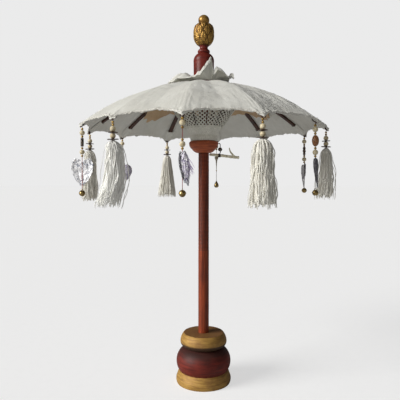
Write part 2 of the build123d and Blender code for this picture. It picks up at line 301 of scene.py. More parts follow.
def yarn(name, light, dark, scale=1.0):
    """Loose or wound cotton thread: fine fibres along a soft, matt surface."""
    f = Finish(name, 0.9, Sheen_Weight=0.3, Specular_IOR_Level=0.2)
    fibres = f.noise(f.place((1, 1, 0.15)), 900 * scale, 3)
    blotch = f.noise(f.place(), 60 * scale, 4)
    base = f.ramp(blotch, (0.35, dark), (0.65, light))
    f.colour(f.tint(base, times(dark, 0.86), f.mask(fibres, 0.6, 0.35)))
    f.bump(fibres, 0.6, 0.25)
    f.rough(blotch, 0.8, 0.95)
    return f.material


def bamboo(name, turn):
    """Dark stained split bamboo with its grain along a direction in plan."""
    f = Finish(name, 0.5, Specular_IOR_Level=0.4)
    grain = f.noise(f.place((1, 24, 6), turn), 26, 5, 0.6)
    base = f.ramp(grain, (0.32, (0.028, 0.012, 0.008)), (0.52, (0.075, 0.028, 0.016)), (0.72, (0.15, 0.065, 0.035)))
    f.colour(f.tint(base, (0.05, 0.018, 0.012), f.noise(f.place(), 40, 3), 0.6))
    f.rough(grain, 0.38, 0.7)
    f.bump(grain, 0.5, 0.35)
    return f.material


def lacquer(name, light, deep, wear, gloss=(0.28, 0.5), shoulder=False):
    """Hand-painted turned wood: brush streaks that run round, faint tool marks, worn spots, painted shade on a
    shoulder.
    """
    f = Finish(name, 0.35, Specular_IOR_Level=0.25, Coat_Weight=0.02, Coat_Roughness=0.35)
    streaks = f.noise(f.place((1, 1, 9)), 42, 5, 0.6)
    cloudy = f.noise(f.place(), 34, 4, 0.6)
    base = f.ramp(streaks, (0.32, deep), (0.62, light))
    base = f.tint(base, times(deep, 0.45), f.mask(cloudy, 0.42, 0.70), 0.55)
    base = f.tint(base, wear, f.mask(f.noise(f.place(), 240, 6, 0.7), 0.63, 0.72), 0.25)
    if shoulder:
        # Painted shade: faces that turn up, mottled by noise, go near black, as under the cap's overhang.
        high = f.math("ADD", f.upward(), f.math("MULTIPLY", cloudy, 0.35))
        base = f.tint(base, (0.034, 0.016, 0.013), f.mask(high, 0.42, 0.85), 0.8)
    f.colour(base)
    f.rough(streaks, *gloss)
    f.bump(f.wave(f.place(), 1.3, "Z", 2.0), 0.12, 0.16)
    f.bump(f.noise(f.place((1, 1, 4)), 160, 4), 0.35, 0.3)
    return f.material


def gilt(name, relief=None, top=False, shine=0.22, gloss=(0.48, 0.70)):
    """Antique gold paint over a red-brown ground that shows on a flat top, with painted shade, near black, in the
    hollows and underneath.
    """
    f = Finish(name, 0.38, Metallic=shine, Specular_IOR_Level=0.45)
    streaks = f.noise(f.place((1, 1, 8)), 50, 5, 0.6)
    base = f.ramp(streaks, (0.30, (0.25, 0.128, 0.028)), (0.50, (0.42, 0.235, 0.054)), (0.72, (0.55, 0.335, 0.085)))
    base = f.tint(base, (0.20, 0.085, 0.035), f.mask(f.noise(f.place(), 30, 4, 0.6), 0.50, 0.74), 0.7)
    if relief:
        # Painted shade: near black in the carving's hollows, where the relief value is low.
        base = f.tint(base, (0.040, 0.016, 0.008), f.mask(f.attribute(relief), 0.55, 0.10))
    if top:
        up = f.upward()
        base = f.tint(base, (0.19, 0.085, 0.035), f.mask(up, 0.90, 0.985), 0.72)
        # Painted shade: near black on faces that turn down, underneath.
        base = f.tint(base, (0.035, 0.014, 0.008), f.mask(f.math("SUBTRACT", 0.10, up), 0.04, 0.34), 0.93)
    f.colour(base)
    f.rough(streaks, *gloss)
    f.bump(streaks, 0.4, 0.25)
    f.bump(f.noise(f.place(), 260, 4), 0.35, 0.2)
    return f.material


def pole_wood(name):
    f = Finish(name, 0.4, Specular_IOR_Level=0.3, Coat_Weight=0.04, Coat_Roughness=0.3)
    grain = f.noise(f.place((1, 1, 0.05)), 240, 5, 0.6)
    cloudy = f.noise(f.place((1, 1, 0.35)), 55, 4)
    base = f.ramp(grain, (0.34, (0.11, 0.016, 0.005)), (0.62, (0.31, 0.054, 0.015)))
    base = f.tint(base, (0.070, 0.016, 0.010), f.mask(cloudy, 0.46, 0.72), 0.7)
    # Painted shade: near black in the ring grooves.
    f.colour(f.tint(base, (0.035, 0.010, 0.007), f.mask(f.attribute("groove"), 0.15, 0.7), 0.88))
    f.rough(grain, 0.34, 0.6)
    f.bump(grain, 0.35, 0.2)
    return f.material


def plain_wood(name, light, dark, grain_scale=(1, 1, 6), gloss=(0.5, 0.75), scale=60):
    f = Finish(name, 0.6, Specular_IOR_Level=0.35)
    grain = f.noise(f.place(grain_scale), scale, 5, 0.6)
    base = f.ramp(grain, (0.35, dark), (0.65, light))
    f.colour(f.tint(base, times(dark, 0.5), f.mask(f.noise(f.place(), scale * 5, 4, 0.7), 0.60, 0.74), 0.4))
    f.rough(grain, *gloss)
    f.bump(grain, 0.4, 0.2)
    return f.material


def metal(name, light, dark, gloss=(0.18, 0.45)):
    f = Finish(name, 0.3, Metallic=0.9)
    worn = f.noise(f.place(), 260, 5, 0.65)
    f.colour(f.ramp(worn, (0.38, dark), (0.60, light)))
    f.rough(worn, gloss[1], gloss[0])
    f.bump(worn, 0.3, 0.15)
    return f.material


def shell_finish(name, stops, growth, scale):
    """Sea shell: growth lines that follow the piece's own growth value, and a pearly gloss."""
    f = Finish(name, 0.25, Specular_IOR_Level=0.6, Coat_Weight=0.5, Coat_Roughness=0.12)
    lines = f.math("MULTIPLY", f.attribute("growth"), growth)
    lines = f.math("ADD", lines, f.math("MULTIPLY", f.noise(f.place(), 90, 4), 1.2))
    bands = f.node("ShaderNodeTexNoise", {"W": lines, "Scale": 1.0, "Detail": 4.0},
                   noise_dimensions="1D").outputs["Fac"]
    mottled = f.noise(f.place(), scale, 5, 0.65)
    f.colour(f.ramp(f.math("MULTIPLY", f.math("ADD", bands, mottled), 0.5), *stops))
    f.rough(mottled, 0.12, 0.4)
    f.bump(bands, 0.35, 0.4)
    f.bump(mottled, 0.35, 0.3)
    return f.material


def crinkled_shell(name, white, line):
    """Near-white shell with a fine dark net of crinkles."""
    f = Finish(name, 0.35, Specular_IOR_Level=0.5, Coat_Weight=0.3, Coat_Roughness=0.2)
    body = f.noise(f.place((1, 1, 0.6)), 105, 3, 0.55)
    large, fine = [f.math("ABSOLUTE", f.math("SUBTRACT", field, 0.5)) for field in (body, f.noise(f.place(), 190, 2))]
    net = f.math("MINIMUM", large, f.math("MULTIPLY", fine, 1.3))
    f.colour(f.mix(f.mask(net, 0.004, 0.020), line, white))
    f.rough(body, 0.25, 0.5)
    f.bump(net, 0.9, 0.8)
    return f.material


# ---- mesh building ----
def grid_faces(rows, columns, wrap=False):
    """Quads of a grid of points, row after row; wrap joins the last column to the first."""
    return [(r * columns + c, r * columns + (c + 1) % columns,
             (r + 1) * columns + (c + 1) % columns, (r + 1) * columns + c)
            for r in range(rows - 1) for c in range(columns if wrap else columns - 1)]


class Shape:
    """Collects points in millimetres and faces, and makes one piece of them."""

    def __init__(self):
        self.points, self.faces, self.marks, self.values, self.maps = [], [], [], [], []
        self.count = 0

    def add(self, points, faces, mark=0, value=0.0, uv=None):
        points = np.asarray(points, float).reshape(-1, 3)
        self.points.append(points)
        self.faces += [tuple(self.count + i for i in face) for face in faces]
        self.marks += [mark] * len(faces)
        self.values.append(np.broadcast_to(np.asarray(value, float).reshape(-1), (len(points),)))
        self.maps.append(np.zeros((len(points), 2)) if uv is None else uv)
        self.count += len(points)

    def add_sheet(self, grid, thickness, normals, flat, wrap=False):
        """Closed sheet, whose two faces share the UV map flat."""
        self.add(*shell_of(grid, thickness, normals, wrap), uv=np.tile(np.reshape(flat, (-1, 2)), (2, 1)))

    def piece(self, name, materials, body, slot, replaces=(), attribute=None, sharp=40.0):
        mesh = bpy.data.meshes.new(name)
        mesh.from_pydata((np.vstack(self.points) * MM).tolist(), [], self.faces)
        layer = mesh.uv_layers.new(name="UVMap")
        layer.data.foreach_set("uv", (np.vstack(self.maps)[loop_points(mesh)] * MM).ravel())
        if attribute:
            data = mesh.attributes.new(attribute, "FLOAT", "POINT")
            data.data.foreach_set("value", np.concatenate(self.values))
        for material in materials:
            mesh.materials.append(material)
        mesh.polygons.foreach_set("material_index", self.marks)
        mesh.polygons.foreach_set("use_smooth", [True] * len(self.faces))
        work = bmesh.new()
        work.from_mesh(mesh)
        bmesh.ops.recalc_face_normals(work, faces=work.faces)
        work.to_mesh(mesh)
        work.free()
        mesh.set_sharp_from_angle(angle=radians(sharp))
        mesh.update()
        piece = add_object(name, mesh)
        if body:
            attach(piece, body)
        if replaces:
            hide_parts(*replaces)
        return piece


def loop_points(mesh):
    """Each face corner's point."""
    loops = np.zeros(len(mesh.loops), np.int32)
    mesh.loops.foreach_get("vertex_index", loops)
    return loops


def capped(grid, low, high):
    """Points and faces of a grid wrapped round Z, closed by points on the axis at two heights."""
    rows, sides = grid.shape[:2]
    points = np.vstack([grid.reshape(-1, 3), [(0, 0, low), (0, 0, high)]])
    last, middle = (rows - 1) * sides, rows * sides
    faces = grid_faces(rows, sides, wrap=True)
    faces += [(middle, (c + 1) % sides, c) for c in range(sides)]
    faces += [(middle + 1, last + c, last + (c + 1) % sides) for c in range(sides)]
    return points, faces


def turned(outline, sides=40, warp=None):
    """Turned shape round Z from (radius, z) points; both ends are closed at their middles."""
    radius, height = (np.asarray(outline, float)[:, i][:, None] * np.ones(sides) for i in (0, 1))
    angles = np.linspace(0, 2 * pi, sides, endpoint=False)
    if warp:
        radius = radius + warp(angles[None, :] * np.ones_like(radius), height)
    grid = np.stack([radius * np.cos(angles), radius * np.sin(angles), height], axis=-1)
    return capped(grid, outline[0][1], outline[-1][1])


def tube(path, radius, sides=6):
    """Round tube along points, closed at both ends. radius is one number or one for each point."""
    path = np.asarray(path, float)
    count = len(path)
    radius = np.broadcast_to(np.asarray(radius, float), (count,))
    along = np.gradient(path, axis=0)
    along /= np.maximum(np.linalg.norm(along, axis=1, keepdims=True), 1e-9)
    side = np.cross(along[0], (0.0, 0.0, 1.0))
    if np.linalg.norm(side) < 0.1:
        side = np.cross(along[0], (1.0, 0.0, 0.0))
    angles = np.linspace(0, 2 * pi, sides, endpoint=False)
    rings = []
    for index in range(count):
        side = side - along[index] * np.dot(side, along[index])
        side /= np.linalg.norm(side)
        other = np.cross(along[index], side)
        rings.append(path[index] + radius[index] * (np.cos(angles)[:, None] * side + np.sin(angles)[:, None] * other))
    return np.vstack(rings), grid_faces(count, sides, wrap=True) + end_faces(count, sides)


def end_faces(rows, sides):
    return [tuple(range(sides))[::-1], tuple((rows - 1) * sides + c for c in range(sides))]


def smooth_line(points, steps):
    """Catmull-Rom line through points."""
    points = np.asarray(points, float)
    padded = np.vstack([2 * points[0] - points[1], points, 2 * points[-1] - points[-2]])
    line = []
    for index in range(len(points) - 1):
        a, b, c, d = padded[index:index + 4]
        for t in np.linspace(0, 1, steps, endpoint=False):
            line.append(0.5 * (2 * b + (c - a) * t + (2 * a - 5 * b + 4 * c - d) * t ** 2
                               + (3 * b - a - 3 * c + d) * t ** 3))
    line.append(points[-1])
    return np.array(line)


def grid_normals(points, wrap=False):
    """Unit normals of a grid of points."""
    if wrap:
        across = (np.roll(points, -1, axis=1) - np.roll(points, 1, axis=1)) / 2
    else:
        across = np.gradient(points, axis=1)
    normals = np.cross(across, np.gradient(points, axis=0))
    return normals / np.maximum(np.linalg.norm(normals, axis=-1, keepdims=True), 1e-9)


def upward(normals):
    return normals if normals[0, 0, 2] > 0 else -normals


def shell_of(top, thickness, normals, wrap=False):
    """Closed sheet: a grid of points, its copy a thickness along the normals, and walls at the open edges."""
    rows, columns = top.shape[:2]
    thickness = np.broadcast_to(thickness, (rows, columns))[..., None]
    points = np.vstack([top.reshape(-1, 3), (top - normals * thickness).reshape(-1, 3)])
    count = rows * columns
    upper = grid_faces(rows, columns, wrap)
    faces = upper + [tuple(count + i for i in face[::-1]) for face in upper]
    edges = [list(range(columns)), list(range(count - columns, count))[::-1]]
    if wrap:
        edges = [edge + edge[:1] for edge in edges]
    else:
        edges += [list(range(0, count, columns))[::-1], list(range(columns - 1, count, columns))]
    for edge in edges:
        faces += [(a, a + count, b + count, b) for a, b in zip(edge, edge[1:])]
    return points, faces


def perlin(x, y, z=0.0):
    return noise.noise(Vector((x, y, z)))


def smooth(value):
    value = min(1.0, max(0.0, value))
    return value * value * (3 - 2 * value)


# ---- canopy ----
CLOTH_IN = 8.8
RIM_AT_RIB = 206.4
RIM_DIP = 7.7
HEM_WIDTH = 6.0
CLOTH_T = 0.7
HALF_COLUMNS = 28
EDGE_ROWS = (0, 0.3, 0.8, 1.3, 1.9, 2.6, 3.4, 4.2, 4.9, 5.4, 5.8, 6.2, 6.7, 7.5, 8.7, 10.5, 13, 16, 20, 25)
INNER_ROWS = 50
SLEEVE_U = np.linspace(178.5, 199.0, 12)
SLEEVE_Y = np.linspace(-8.5, 8.5, 19)
STITCH_LENGTH, STITCH_STEP, STITCH_RADIUS = 1.9, 0.98, 195
CLOTH_KEEP = 0.54              # width left when closed


def rim(offset):
    """Ridge radius of the cloth's edge, at degrees from the rib: it runs in shallow scallops."""
    return RIM_AT_RIB - RIM_DIP * (1 - (1 - min(1.0, abs(offset) / HALF_GORE)) ** 2.2)


def cloth_point(azimuth, u):
    """Outer face of the cloth. u is the distance from the axis at the rib of the same height."""
    offset = from_rib(azimuth)
    side = abs(offset) / HALF_GORE
    plan = u * chord(offset)
    lateral = plan * sin(radians(abs(offset)))
    c, s = on_circle(azimuth)
    x, y = plan * c, plan * s
    edge = rim(offset) - u
    z = arc_z(CANOPY_R, u)
    # sag between the ribs, and a ridge over each
    z -= 0.5 * exp(-(lateral / 2.6) ** 2)
    z -= 3.0 * side ** 1.25 * sin(pi * min(1.0, u / 225))
    z += 1.6 * side * perlin(x / 40, y / 40, 3.1)
    # wrinkles
    patchy = 0.10 + 0.8 * smooth(0.5 + 1.5 * perlin(x / 60, y / 60, 9.0))
    z += smooth(u / 130) * patchy * perlin(20 * c, 20 * s, u / 45)
    z += 1.3 * (abs(perlin(x / 21 + y / 33, y / 21 - x / 33, 12.0)) - 0.25) * smooth(u / 60)
    z += 0.22 * perlin(x / 7, y / 7, 5.3)
    outward = smooth((u - 130) / 70)
    z += 0.35 * outward * exp(-(lateral / 11) ** 2) * sin(lateral * 1.25 + 2 * perlin(c * 9, s * 9, u / 40))
    # puckered hem, its seam, the sleeve's seam, and the lip turned down
    z += exp(-max(edge, 0) / 7.0) * (1.3 * perlin(30 * c, 30 * s, 9.9) + 1.9 * perlin(74 * c, 74 * s, 2.9))
    z += 0.35 * smooth((HEM_WIDTH - edge) / 0.7) - 0.30 * exp(-((edge - HEM_WIDTH + 1.0) / 0.5) ** 2)
    z -= 1.7 * exp(-((lateral - 5.2) / 1.5) ** 2) * smooth((u - 192) / 8)
    lip = max(0.0, 2.3 - edge) / 2.3
    z -= 0.5 * lip ** 2 + 3.8 * lip ** 2 * exp(-(lateral / 5.2) ** 2)
    return (x, y, z)


def wedge_columns():
    """Degrees from the rib, with one column beyond each side for the normals."""
    half = [HALF_GORE * (i / HALF_COLUMNS) ** 1.15 for i in range(HALF_COLUMNS + 1)]
    half.append(2 * HALF_GORE - half[-2])
    return [-offset for offset in reversed(half[1:])] + half


def wedge_rows(offset):
    """Values of u from the crown to the edge."""
    edge = rim(offset)
    start = edge - EDGE_ROWS[-1]
    inner = [CLOTH_IN + (start - CLOTH_IN) * i / INNER_ROWS for i in range(INNER_ROWS)]
    return inner + [edge - e for e in reversed(EDGE_ROWS)]


def canopy_wedge(number, cloth, thread):
    """Cloth over one rib, from the middle of one gore to the middle of the next, with its hem and rib pocket."""
    azimuth = rib_azimuth(number)
    offsets = wedge_columns()
    levels = list(zip(*[wedge_rows(min(abs(o), 2 * HALF_GORE - abs(o))) for o in offsets]))
    wide = np.array([[cloth_point(azimuth + o, u) for o, u in zip(offsets, level)] for level in levels])
    normals = upward(grid_normals(wide)[:, 1:-1])
    top, levels, offsets = wide[:, 1:-1], np.array(levels)[:, 1:-1], np.array(offsets[1:-1])
    edge = np.array([rim(o) for o in offsets]) - levels
    thick = CLOTH_T + 0.7 * np.clip((HEM_WIDTH - edge) / 0.8, 0, 1)
    thick[-1] *= 0.6
    along = CANOPY_R * np.arcsin((levels - CENTRE_X) / CANOPY_R)
    across = np.hypot(top[..., 0], top[..., 1]) * np.sin(np.radians(HALF_GORE - abs(offsets)))
    across *= np.where(offsets < 0, 1, -1)
    shape = Shape()
    shape.add_sheet(top, thick, normals, np.stack([across, along], axis=-1))
    add_pocket(shape, azimuth)
    add_rolled_edge(shape, azimuth)
    add_stitches(shape, azimuth)
    piece = shape.piece(f"canopy_{number:02d}", [cloth, thread], f"rib_{number:02d}", "canopy_cloth",
                        [f"canopy_panel_{number:02d}"], sharp=60)
    set_cloth_normals(piece.data, np.vstack([normals.reshape(-1, 3), -normals.reshape(-1, 3)]),
                      2 * len(grid_faces(*top.shape[:2])))
    return piece


def set_cloth_normals(mesh, normals, sheet_faces):
    """Shades the sheet's two faces with the whole canopy's normals, so the joins between wedges don't show."""
    corner = np.array([c.vector for c in mesh.corner_normals])
    end = 4 * sheet_faces
    corner[:end] = normals[loop_points(mesh)[:end]]
    mesh.normals_split_custom_set(corner.tolist())


def add_pocket(shape, azimuth):
    """Sleeve sewn under the end of the rib."""
    rows = []
    for u in SLEEVE_U:
        row = []
        for y in SLEEVE_Y:
            low = arc_z(RIB_LOW_R - 0.5, u) - 0.25 * sin(u * 1.9) * cos(y * 0.7)
            high = arc_z(CANOPY_R - 1.3, u + abs(y) * tan(radians(HALF_GORE))) - 0.6
            rise = smooth((abs(y) - 4.0) / 3.8)
            row.append((u, y, low * (1 - rise) + high * rise))
        rows.append(row)
    grid = turned_to(rows, radians(azimuth))
    shape.add_sheet(grid, 0.5, upward(grid_normals(grid)), np.array(rows)[..., :2])


def add_rolled_edge(shape, azimuth):
    """Puckered roll of cloth along the hem."""
    path, radii = [], []
    for offset in np.linspace(-HALF_GORE, HALF_GORE, 91):
        c, s = on_circle(azimuth + offset)
        x, y, z = cloth_point(azimuth + offset, rim(offset) - 1.1)
        path.append((x, y, z + 0.25 + 0.7 * perlin(62 * c, 62 * s, 6.1)))
        radii.append(1.2 + 0.65 * perlin(95 * c, 95 * s, 2.2))
    shape.add(*tube(path, radii, 8), mark=1)


def add_stitches(shape, azimuth):
    """Running stitch along the hem."""
    turn = degrees(STITCH_LENGTH / 2 / STITCH_RADIUS)
    for index in range(-15, 15):
        offset = (index + 0.5) * STITCH_STEP
        path = []
        for t, lift in ((-1, -0.15), (-0.6, 0.22), (0.6, 0.22), (1, -0.15)):
            x, y, z = cloth_point(azimuth + offset + t * turn, rim(offset) - HEM_WIDTH + 1.0)
            path.append((x, y, z + lift))
        shape.add(*tube(path, 0.24, 5), mark=1)


def lining_edge(azimuth):
    """Outer edge of the torn lining: short, but for two patches that still hang on."""
    c, s = on_circle(azimuth)
    edge = 124 + 4 * perlin(4.2 * c, 4.2 * s, 1.7) + 5.5 * perlin(24 * c, 24 * s, 4.4)
    for middle, reach, width in ((136, 25, 9), (36, 26, 9)):
        gap = (azimuth - middle + 180) % 360 - 180
        edge += (reach + 10 * perlin(38 * c, 38 * s, 7.7)) * exp(-(gap / width) ** 2)
    return edge


def lining_strip(number, lining, thread):
    """Ragged strip of thin lining that hangs a little under the ribs."""
    rows = []
    for t in np.linspace(0, 1, 18):
        row = []
        for offset in np.linspace(-HALF_GORE, HALF_GORE, 27):
            azimuth = rib_azimuth(number) + offset
            c, s = on_circle(azimuth)
            side = abs(offset) / HALF_GORE
            u = LINING_IN + (lining_edge(azimuth) - LINING_IN) * t
            plan = u * chord(offset)
            z = arc_z(LINING_R, u) - 3.2 * side ** 1.3 * sin(pi * (0.15 + 0.8 * t))
            z -= 2.2 * t ** 4 * (0.6 + perlin(9 * c, 9 * s, 2.0))
            z += 0.8 * perlin(plan * c / 9, plan * s / 9, 6.6) * side
            row.append((plan * c, plan * s, z))
        rows.append(row)
    grid = np.array(rows)
    shape = Shape()
    shape.add_sheet(grid, 0.5, upward(grid_normals(grid)), grid[..., :2])
    draw = random.Random(100 + number)
    for _ in range(7):
        x, y, z = grid[-1][draw.randrange(2, 25)]
        reach = draw.uniform(3, 8)
        sway = draw.uniform(-2, 2)
        path = smooth_line([(x, y, z + 0.3), (x + sway * 0.4, y + sway * 0.3, z - reach * 0.5),
                            (x + sway, y - sway * 0.5, z - reach)], 4)
        shape.add(*tube(path, np.linspace(0.22, 0.1, len(path)), 5), mark=1)
    return shape.piece(f"lining_{number:02d}", [lining, thread], f"rib_{number:02d}", "lining_cloth",
                       [f"canopy_panel_{number:02d}"], sharp=60)


def fold_in(piece, number, joint, keep, x, z):
    """Gives a soft piece between the ribs its own copy of its mesh; nothing here closes it in as its joint moves."""
    a = rib_angle(number)
    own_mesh(piece)


# ---- collar and net ----
STRUT_TOP_Z = arc_z(RIB_MID_R, STRUT_JOINT_X)
STRUT_LENGTH = hypot(STRUT_JOINT_X - STRUT_HINGE[0], STRUT_TOP_Z - STRUT_HINGE[1])
ALONG = ((STRUT_JOINT_X - STRUT_HINGE[0]) / STRUT_LENGTH, (STRUT_TOP_Z - STRUT_HINGE[1]) / STRUT_LENGTH)
COLLAR_TOP = 24.5
COLLAR_SIDES = 96
COLLAR_PITCH = 0.95            # of the wound thread
NET_TOP = 79.0
NET_CELLS = 36
NET_TWIST = 1.5                # degrees round for each millimetre up
NET_THREAD = 0.55
NET_KEEP = 0.68


def under_strut(s, gap):
    """Radius and height of a point s along the strut and gap below its middle line."""
    return (STRUT_HINGE[0] + gap * ALONG[1] + s * ALONG[0], STRUT_HINGE[1] - gap * ALONG[0] + s * ALONG[1])


def net_point(azimuth, s, gap):
    """Point of the net at degrees from a strut: threads run straight from strut to strut."""
    radius, z = under_strut(s, gap)
    radius *= chord((azimuth + HALF_GORE) % RIB_STEP - HALF_GORE)
    c, s = on_circle(azimuth)
    return (radius * c, radius * s, z)


def net_sector(number, thread):
    shape = Shape()
    draw = random.Random(number)

    def add_thread(path):
        points, faces = tube(path, NET_THREAD, 6)
        shape.add(turned_to(points, rib_angle(number)), faces)

    for family, gap in ((1, 3.7), (-1, 4.5)):
        for index in range(-14, 15):
            for pair in (-0.62, 0.62):
                path = []
                wobble = draw.uniform(-0.5, 0.5)
                for s in np.arange(COLLAR_TOP - 2, NET_TOP + 0.1, 1.7):
                    azimuth = index * 360 / NET_CELLS + family * NET_TWIST * (s - COLLAR_TOP)
                    azimuth += degrees(pair / under_strut(s, gap)[0]) + wobble * sin(s * 0.35)
                    if abs(azimuth) <= HALF_GORE:
                        path.append(net_point(azimuth, s, gap + 0.15 * sin(s + index)))
                if len(path) > 2:
                    add_thread(path)
    for s, gap in ((NET_TOP, 4.1), (NET_TOP - 1.1, 4.2), (NET_TOP - 2.2, 4.1)):
        add_thread([net_point(a, s, gap) for a in np.linspace(-HALF_GORE, HALF_GORE, 13)])
    piece = shape.piece(f"net_{number:02d}", [thread], f"strut_{number:02d}", "white_thread", ["thread_basket"])
    fold_in(piece, number, f"strut_{number:02d}_turn", NET_KEEP, *STRUT_HINGE)
    return piece


def collar(thread):
    """Thread wound close round the foot of the struts."""
    azimuths = np.linspace(0, 360, COLLAR_SIDES, endpoint=False)
    line = [(21.8, 404.9), (22.4, 408.0), (23.2, 411.5)]
    line += [under_strut(s, 4.0 - 0.6 * smooth((s - 18) / 8)) for s in np.linspace(9.0, COLLAR_TOP + 1.5, 6)]
    line = smooth_line(line, 12)
    run = np.concatenate([[0], np.cumsum(np.hypot(*np.diff(line, axis=0).T))])
    at = np.linspace(0, run[-1], int(run[-1] / COLLAR_PITCH) * 5 + 1)
    rows, plain = [], []
    for distance, r, z in zip(at, np.interp(at, run, line[:, 0]), np.interp(at, run, line[:, 1])):
        swell = 0.28 * abs(sin(pi * distance / COLLAR_PITCH)) ** 0.7
        row = []
        for azimuth in azimuths:
            c, s = on_circle(azimuth)
            flat = 1 - 0.6 * smooth((z - 412) / 12) * (1 - chord(from_rib(azimuth)))
            q = r * flat + swell + 0.22 * perlin(3 * c, 3 * s, distance / 2.3)
            row.append((q * c, q * s, z))
        rows.append(row)
        plain.append([(r * cos(radians(a)), r * sin(radians(a)), z) for a in azimuths])
    grid = np.array(rows)
    outward = np.sign((grid_normals(grid, wrap=True)[..., :2] * grid[..., :2]).sum(-1).mean())
    shape = Shape()
    shape.add(*shell_of(grid, 0.7, grid_normals(np.array(plain), wrap=True) * outward, wrap=True))
    return shape.piece("collar", [thread], "runner", "white_thread", ["thread_basket"], sharp=75)


# ---- pole and carved finial ----
RINGED = (219.0, 400.0)
RING_PITCH = 2.25
POLE_SIDES = 44
LEAVES = 8
LEAF_TWIST = 1.6
EGG_CUT = 1.5
EGG = (566.0, 603.3)
EGG_SIDES = 176
BALL = (9.3, 609.3)


def pole(wood):
    low, high = RINGED
    heights = [*np.arange(POLE_FOOT_Z, low, 5.0), *np.arange(low, high, RING_PITCH / 9), *np.arange(high, 493.0, 6.0),
               493.4, SHOULDER_Z]
    outline, grooves = [(8.4, POLE_FOOT_Z), (POLE_R, 22.6)], [0.0, 0.0]
    for z in heights[1:]:
        groove = (0.5 + 0.5 * cos(2 * pi * (z - low) / RING_PITCH)) ** 3
        groove *= smooth((z - low) / 2) * smooth((high - z) / 2)
        outline.append((POLE_R - 0.32 * groove, z))
        grooves.append(groove)
    outline += [(6.95, 493.9), (6.95, 539.0), (6.2, 540.0)]
    grooves += [0.0, 0.0, 0.0]

    def warp(angles, heights):
        uneven = [[perlin(1.5 * cos(a), 1.5 * sin(a), z / 14) for a, z in zip(*row)] for row in zip(angles, heights)]
        return 0.09 * np.array(uneven) - 0.05

    shape = Shape()
    shape.add(*turned(outline, POLE_SIDES, warp), value=np.append(np.repeat(grooves, POLE_SIDES), [0.0, 0.0]))
    return shape.piece("pole_ringed", [wood], "mast", "pole_wood", ["pole"], attribute="groove", sharp=70)


def carved_egg(gold):
    """Egg carved with crossing leaves, under a plain ball."""
    low, high = EGG
    profile = smooth_line([(8.6, low), (13.4, 569.9), (16.4, 575.6), (17.9, 583), (18.0, 589.5),
                           (17.0, 595.8), (14.8, 600.4), (11.0, 602.9), (7.2, high)], 14)
    rows, values = [], []
    for r, z in profile:
        t = (z - low) / (high - low)
        fade = smooth(t / 0.10) * smooth((1 - t) / 0.06)
        row = []
        for a in np.linspace(0, 2 * pi, EGG_SIDES, endpoint=False):
            p, q = ((LEAVES * a / (2 * pi) + lean * t) % 1 for lean in (LEAF_TWIST, -LEAF_TWIST))
            swell = (1 - abs(2 * p - 1) ** 6) * (1 - abs(2 * q - 1) ** 6)
            vein = exp(-((p + q - 1) / 0.10) ** 2) * smooth((swell - 0.3) / 0.5)
            notches = (0.5 + 0.5 * sin(26 * (p - q))) ** 2 * smooth((swell - 0.2) / 0.4)
            height = swell - 0.45 * vein - 0.28 * notches + 0.06 * perlin(6 * cos(a), 6 * sin(a), 6 * t)
            out = r - EGG_CUT * fade * (1 - height)
            row.append((out * cos(a), out * sin(a), z))
            values.append(max(0.0, height) * fade + 0.25 * (1 - fade))
        rows.append(row)
    shape = Shape()
    shape.add(*capped(np.array(rows), low, high), value=np.append(values, [0.2, 0.2]))
    ball_r, ball_z = BALL
    outline = [(5.2, high - 1.0), (5.4, high - 0.2)]
    outline += [(ball_r * sin(t), ball_z - ball_r * cos(t)) for t in np.linspace(0.72, pi - 0.02, 26)]
    shape.add(*turned(outline, 48, lambda a, z: 0.12 * np.sin(3 * a + z / 3) * (z < ball_z + 8)), value=0.75)
    return shape.piece("finial_carved", [gold], "finial", "gold_wood", ["finial_gold"], attribute="relief", sharp=65)


# ---- cloth gathered at the crown ----
RUFFLE_TIE = (18.7, 505)
RUFFLE_SIDES = 220
# Azimuth, then radius and height at four places from the tie to the free edge.
RUFFLE = (
    (1, (28.0, 510), (38.0, 510), (47.5, 512), (50.0, 520)),
    (16, (28.0, 511), (37.0, 514), (45.0, 517), (49.0, 523)),
    (34, (26.0, 510), (33.0, 511), (42.0, 509), (49.0, 506)),
    (54, (27.0, 515), (36.0, 521), (45.0, 518), (52.0, 511)),
    (74, (26.0, 511), (34.0, 512), (43.0, 509), (50.0, 505)),
    (92, (27.0, 516), (36.0, 522), (45.0, 518), (52.0, 510)),
    (110, (27.0, 510), (35.0, 510), (44.0, 508), (51.0, 504)),
    (128, (27.0, 515), (36.0, 519), (45.0, 516), (53.0, 508)),
    (146, (28.0, 510), (37.0, 510), (46.0, 507), (54.0, 503)),
    (160, (27.0, 514), (37.0, 518), (46.0, 513), (55.0, 506)),
    (174, (28.0, 510), (38.0, 511), (48.0, 508), (58.0, 502)),
    (189, (29.0, 514), (39.0, 518), (50.0, 512), (61.0, 501)),
    (204, (27.0, 509), (37.0, 509), (47.0, 506), (55.0, 501)),
    (216, (27.0, 511), (36.0, 515), (43.0, 512), (49.0, 505)),
    (231, (26.0, 507), (32.0, 507.5), (36.0, 508), (40.0, 505.5)),
    (243, (25.0, 507), (29.0, 508), (32.0, 510), (35.0, 507)),
    (256, (24.5, 508.5), (28.5, 511), (30.5, 516), (33.5, 510)),
    (271, (24.0, 510), (28.0, 516), (29.0, 524), (32.0, 518)),
    (285, (23.5, 512), (27.0, 522), (26.5, 534), (29.5, 528)),
    (297, (23.0, 514), (25.5, 527), (26.0, 541), (28.0, 536)),
    (305, (22.8, 508), (25.5, 511), (28.0, 513), (31.0, 510)),
    (314, (24.0, 514), (28.0, 522), (31.0, 525), (34.5, 519)),
    (325, (25.0, 513), (31.0, 519), (36.0, 521), (41.0, 515)),
    (336, (26.0, 509), (33.0, 511), (40.0, 512), (46.0, 509)),
    (349, (27.0, 511), (36.0, 513), (45.0, 511), (51.5, 507)),
)


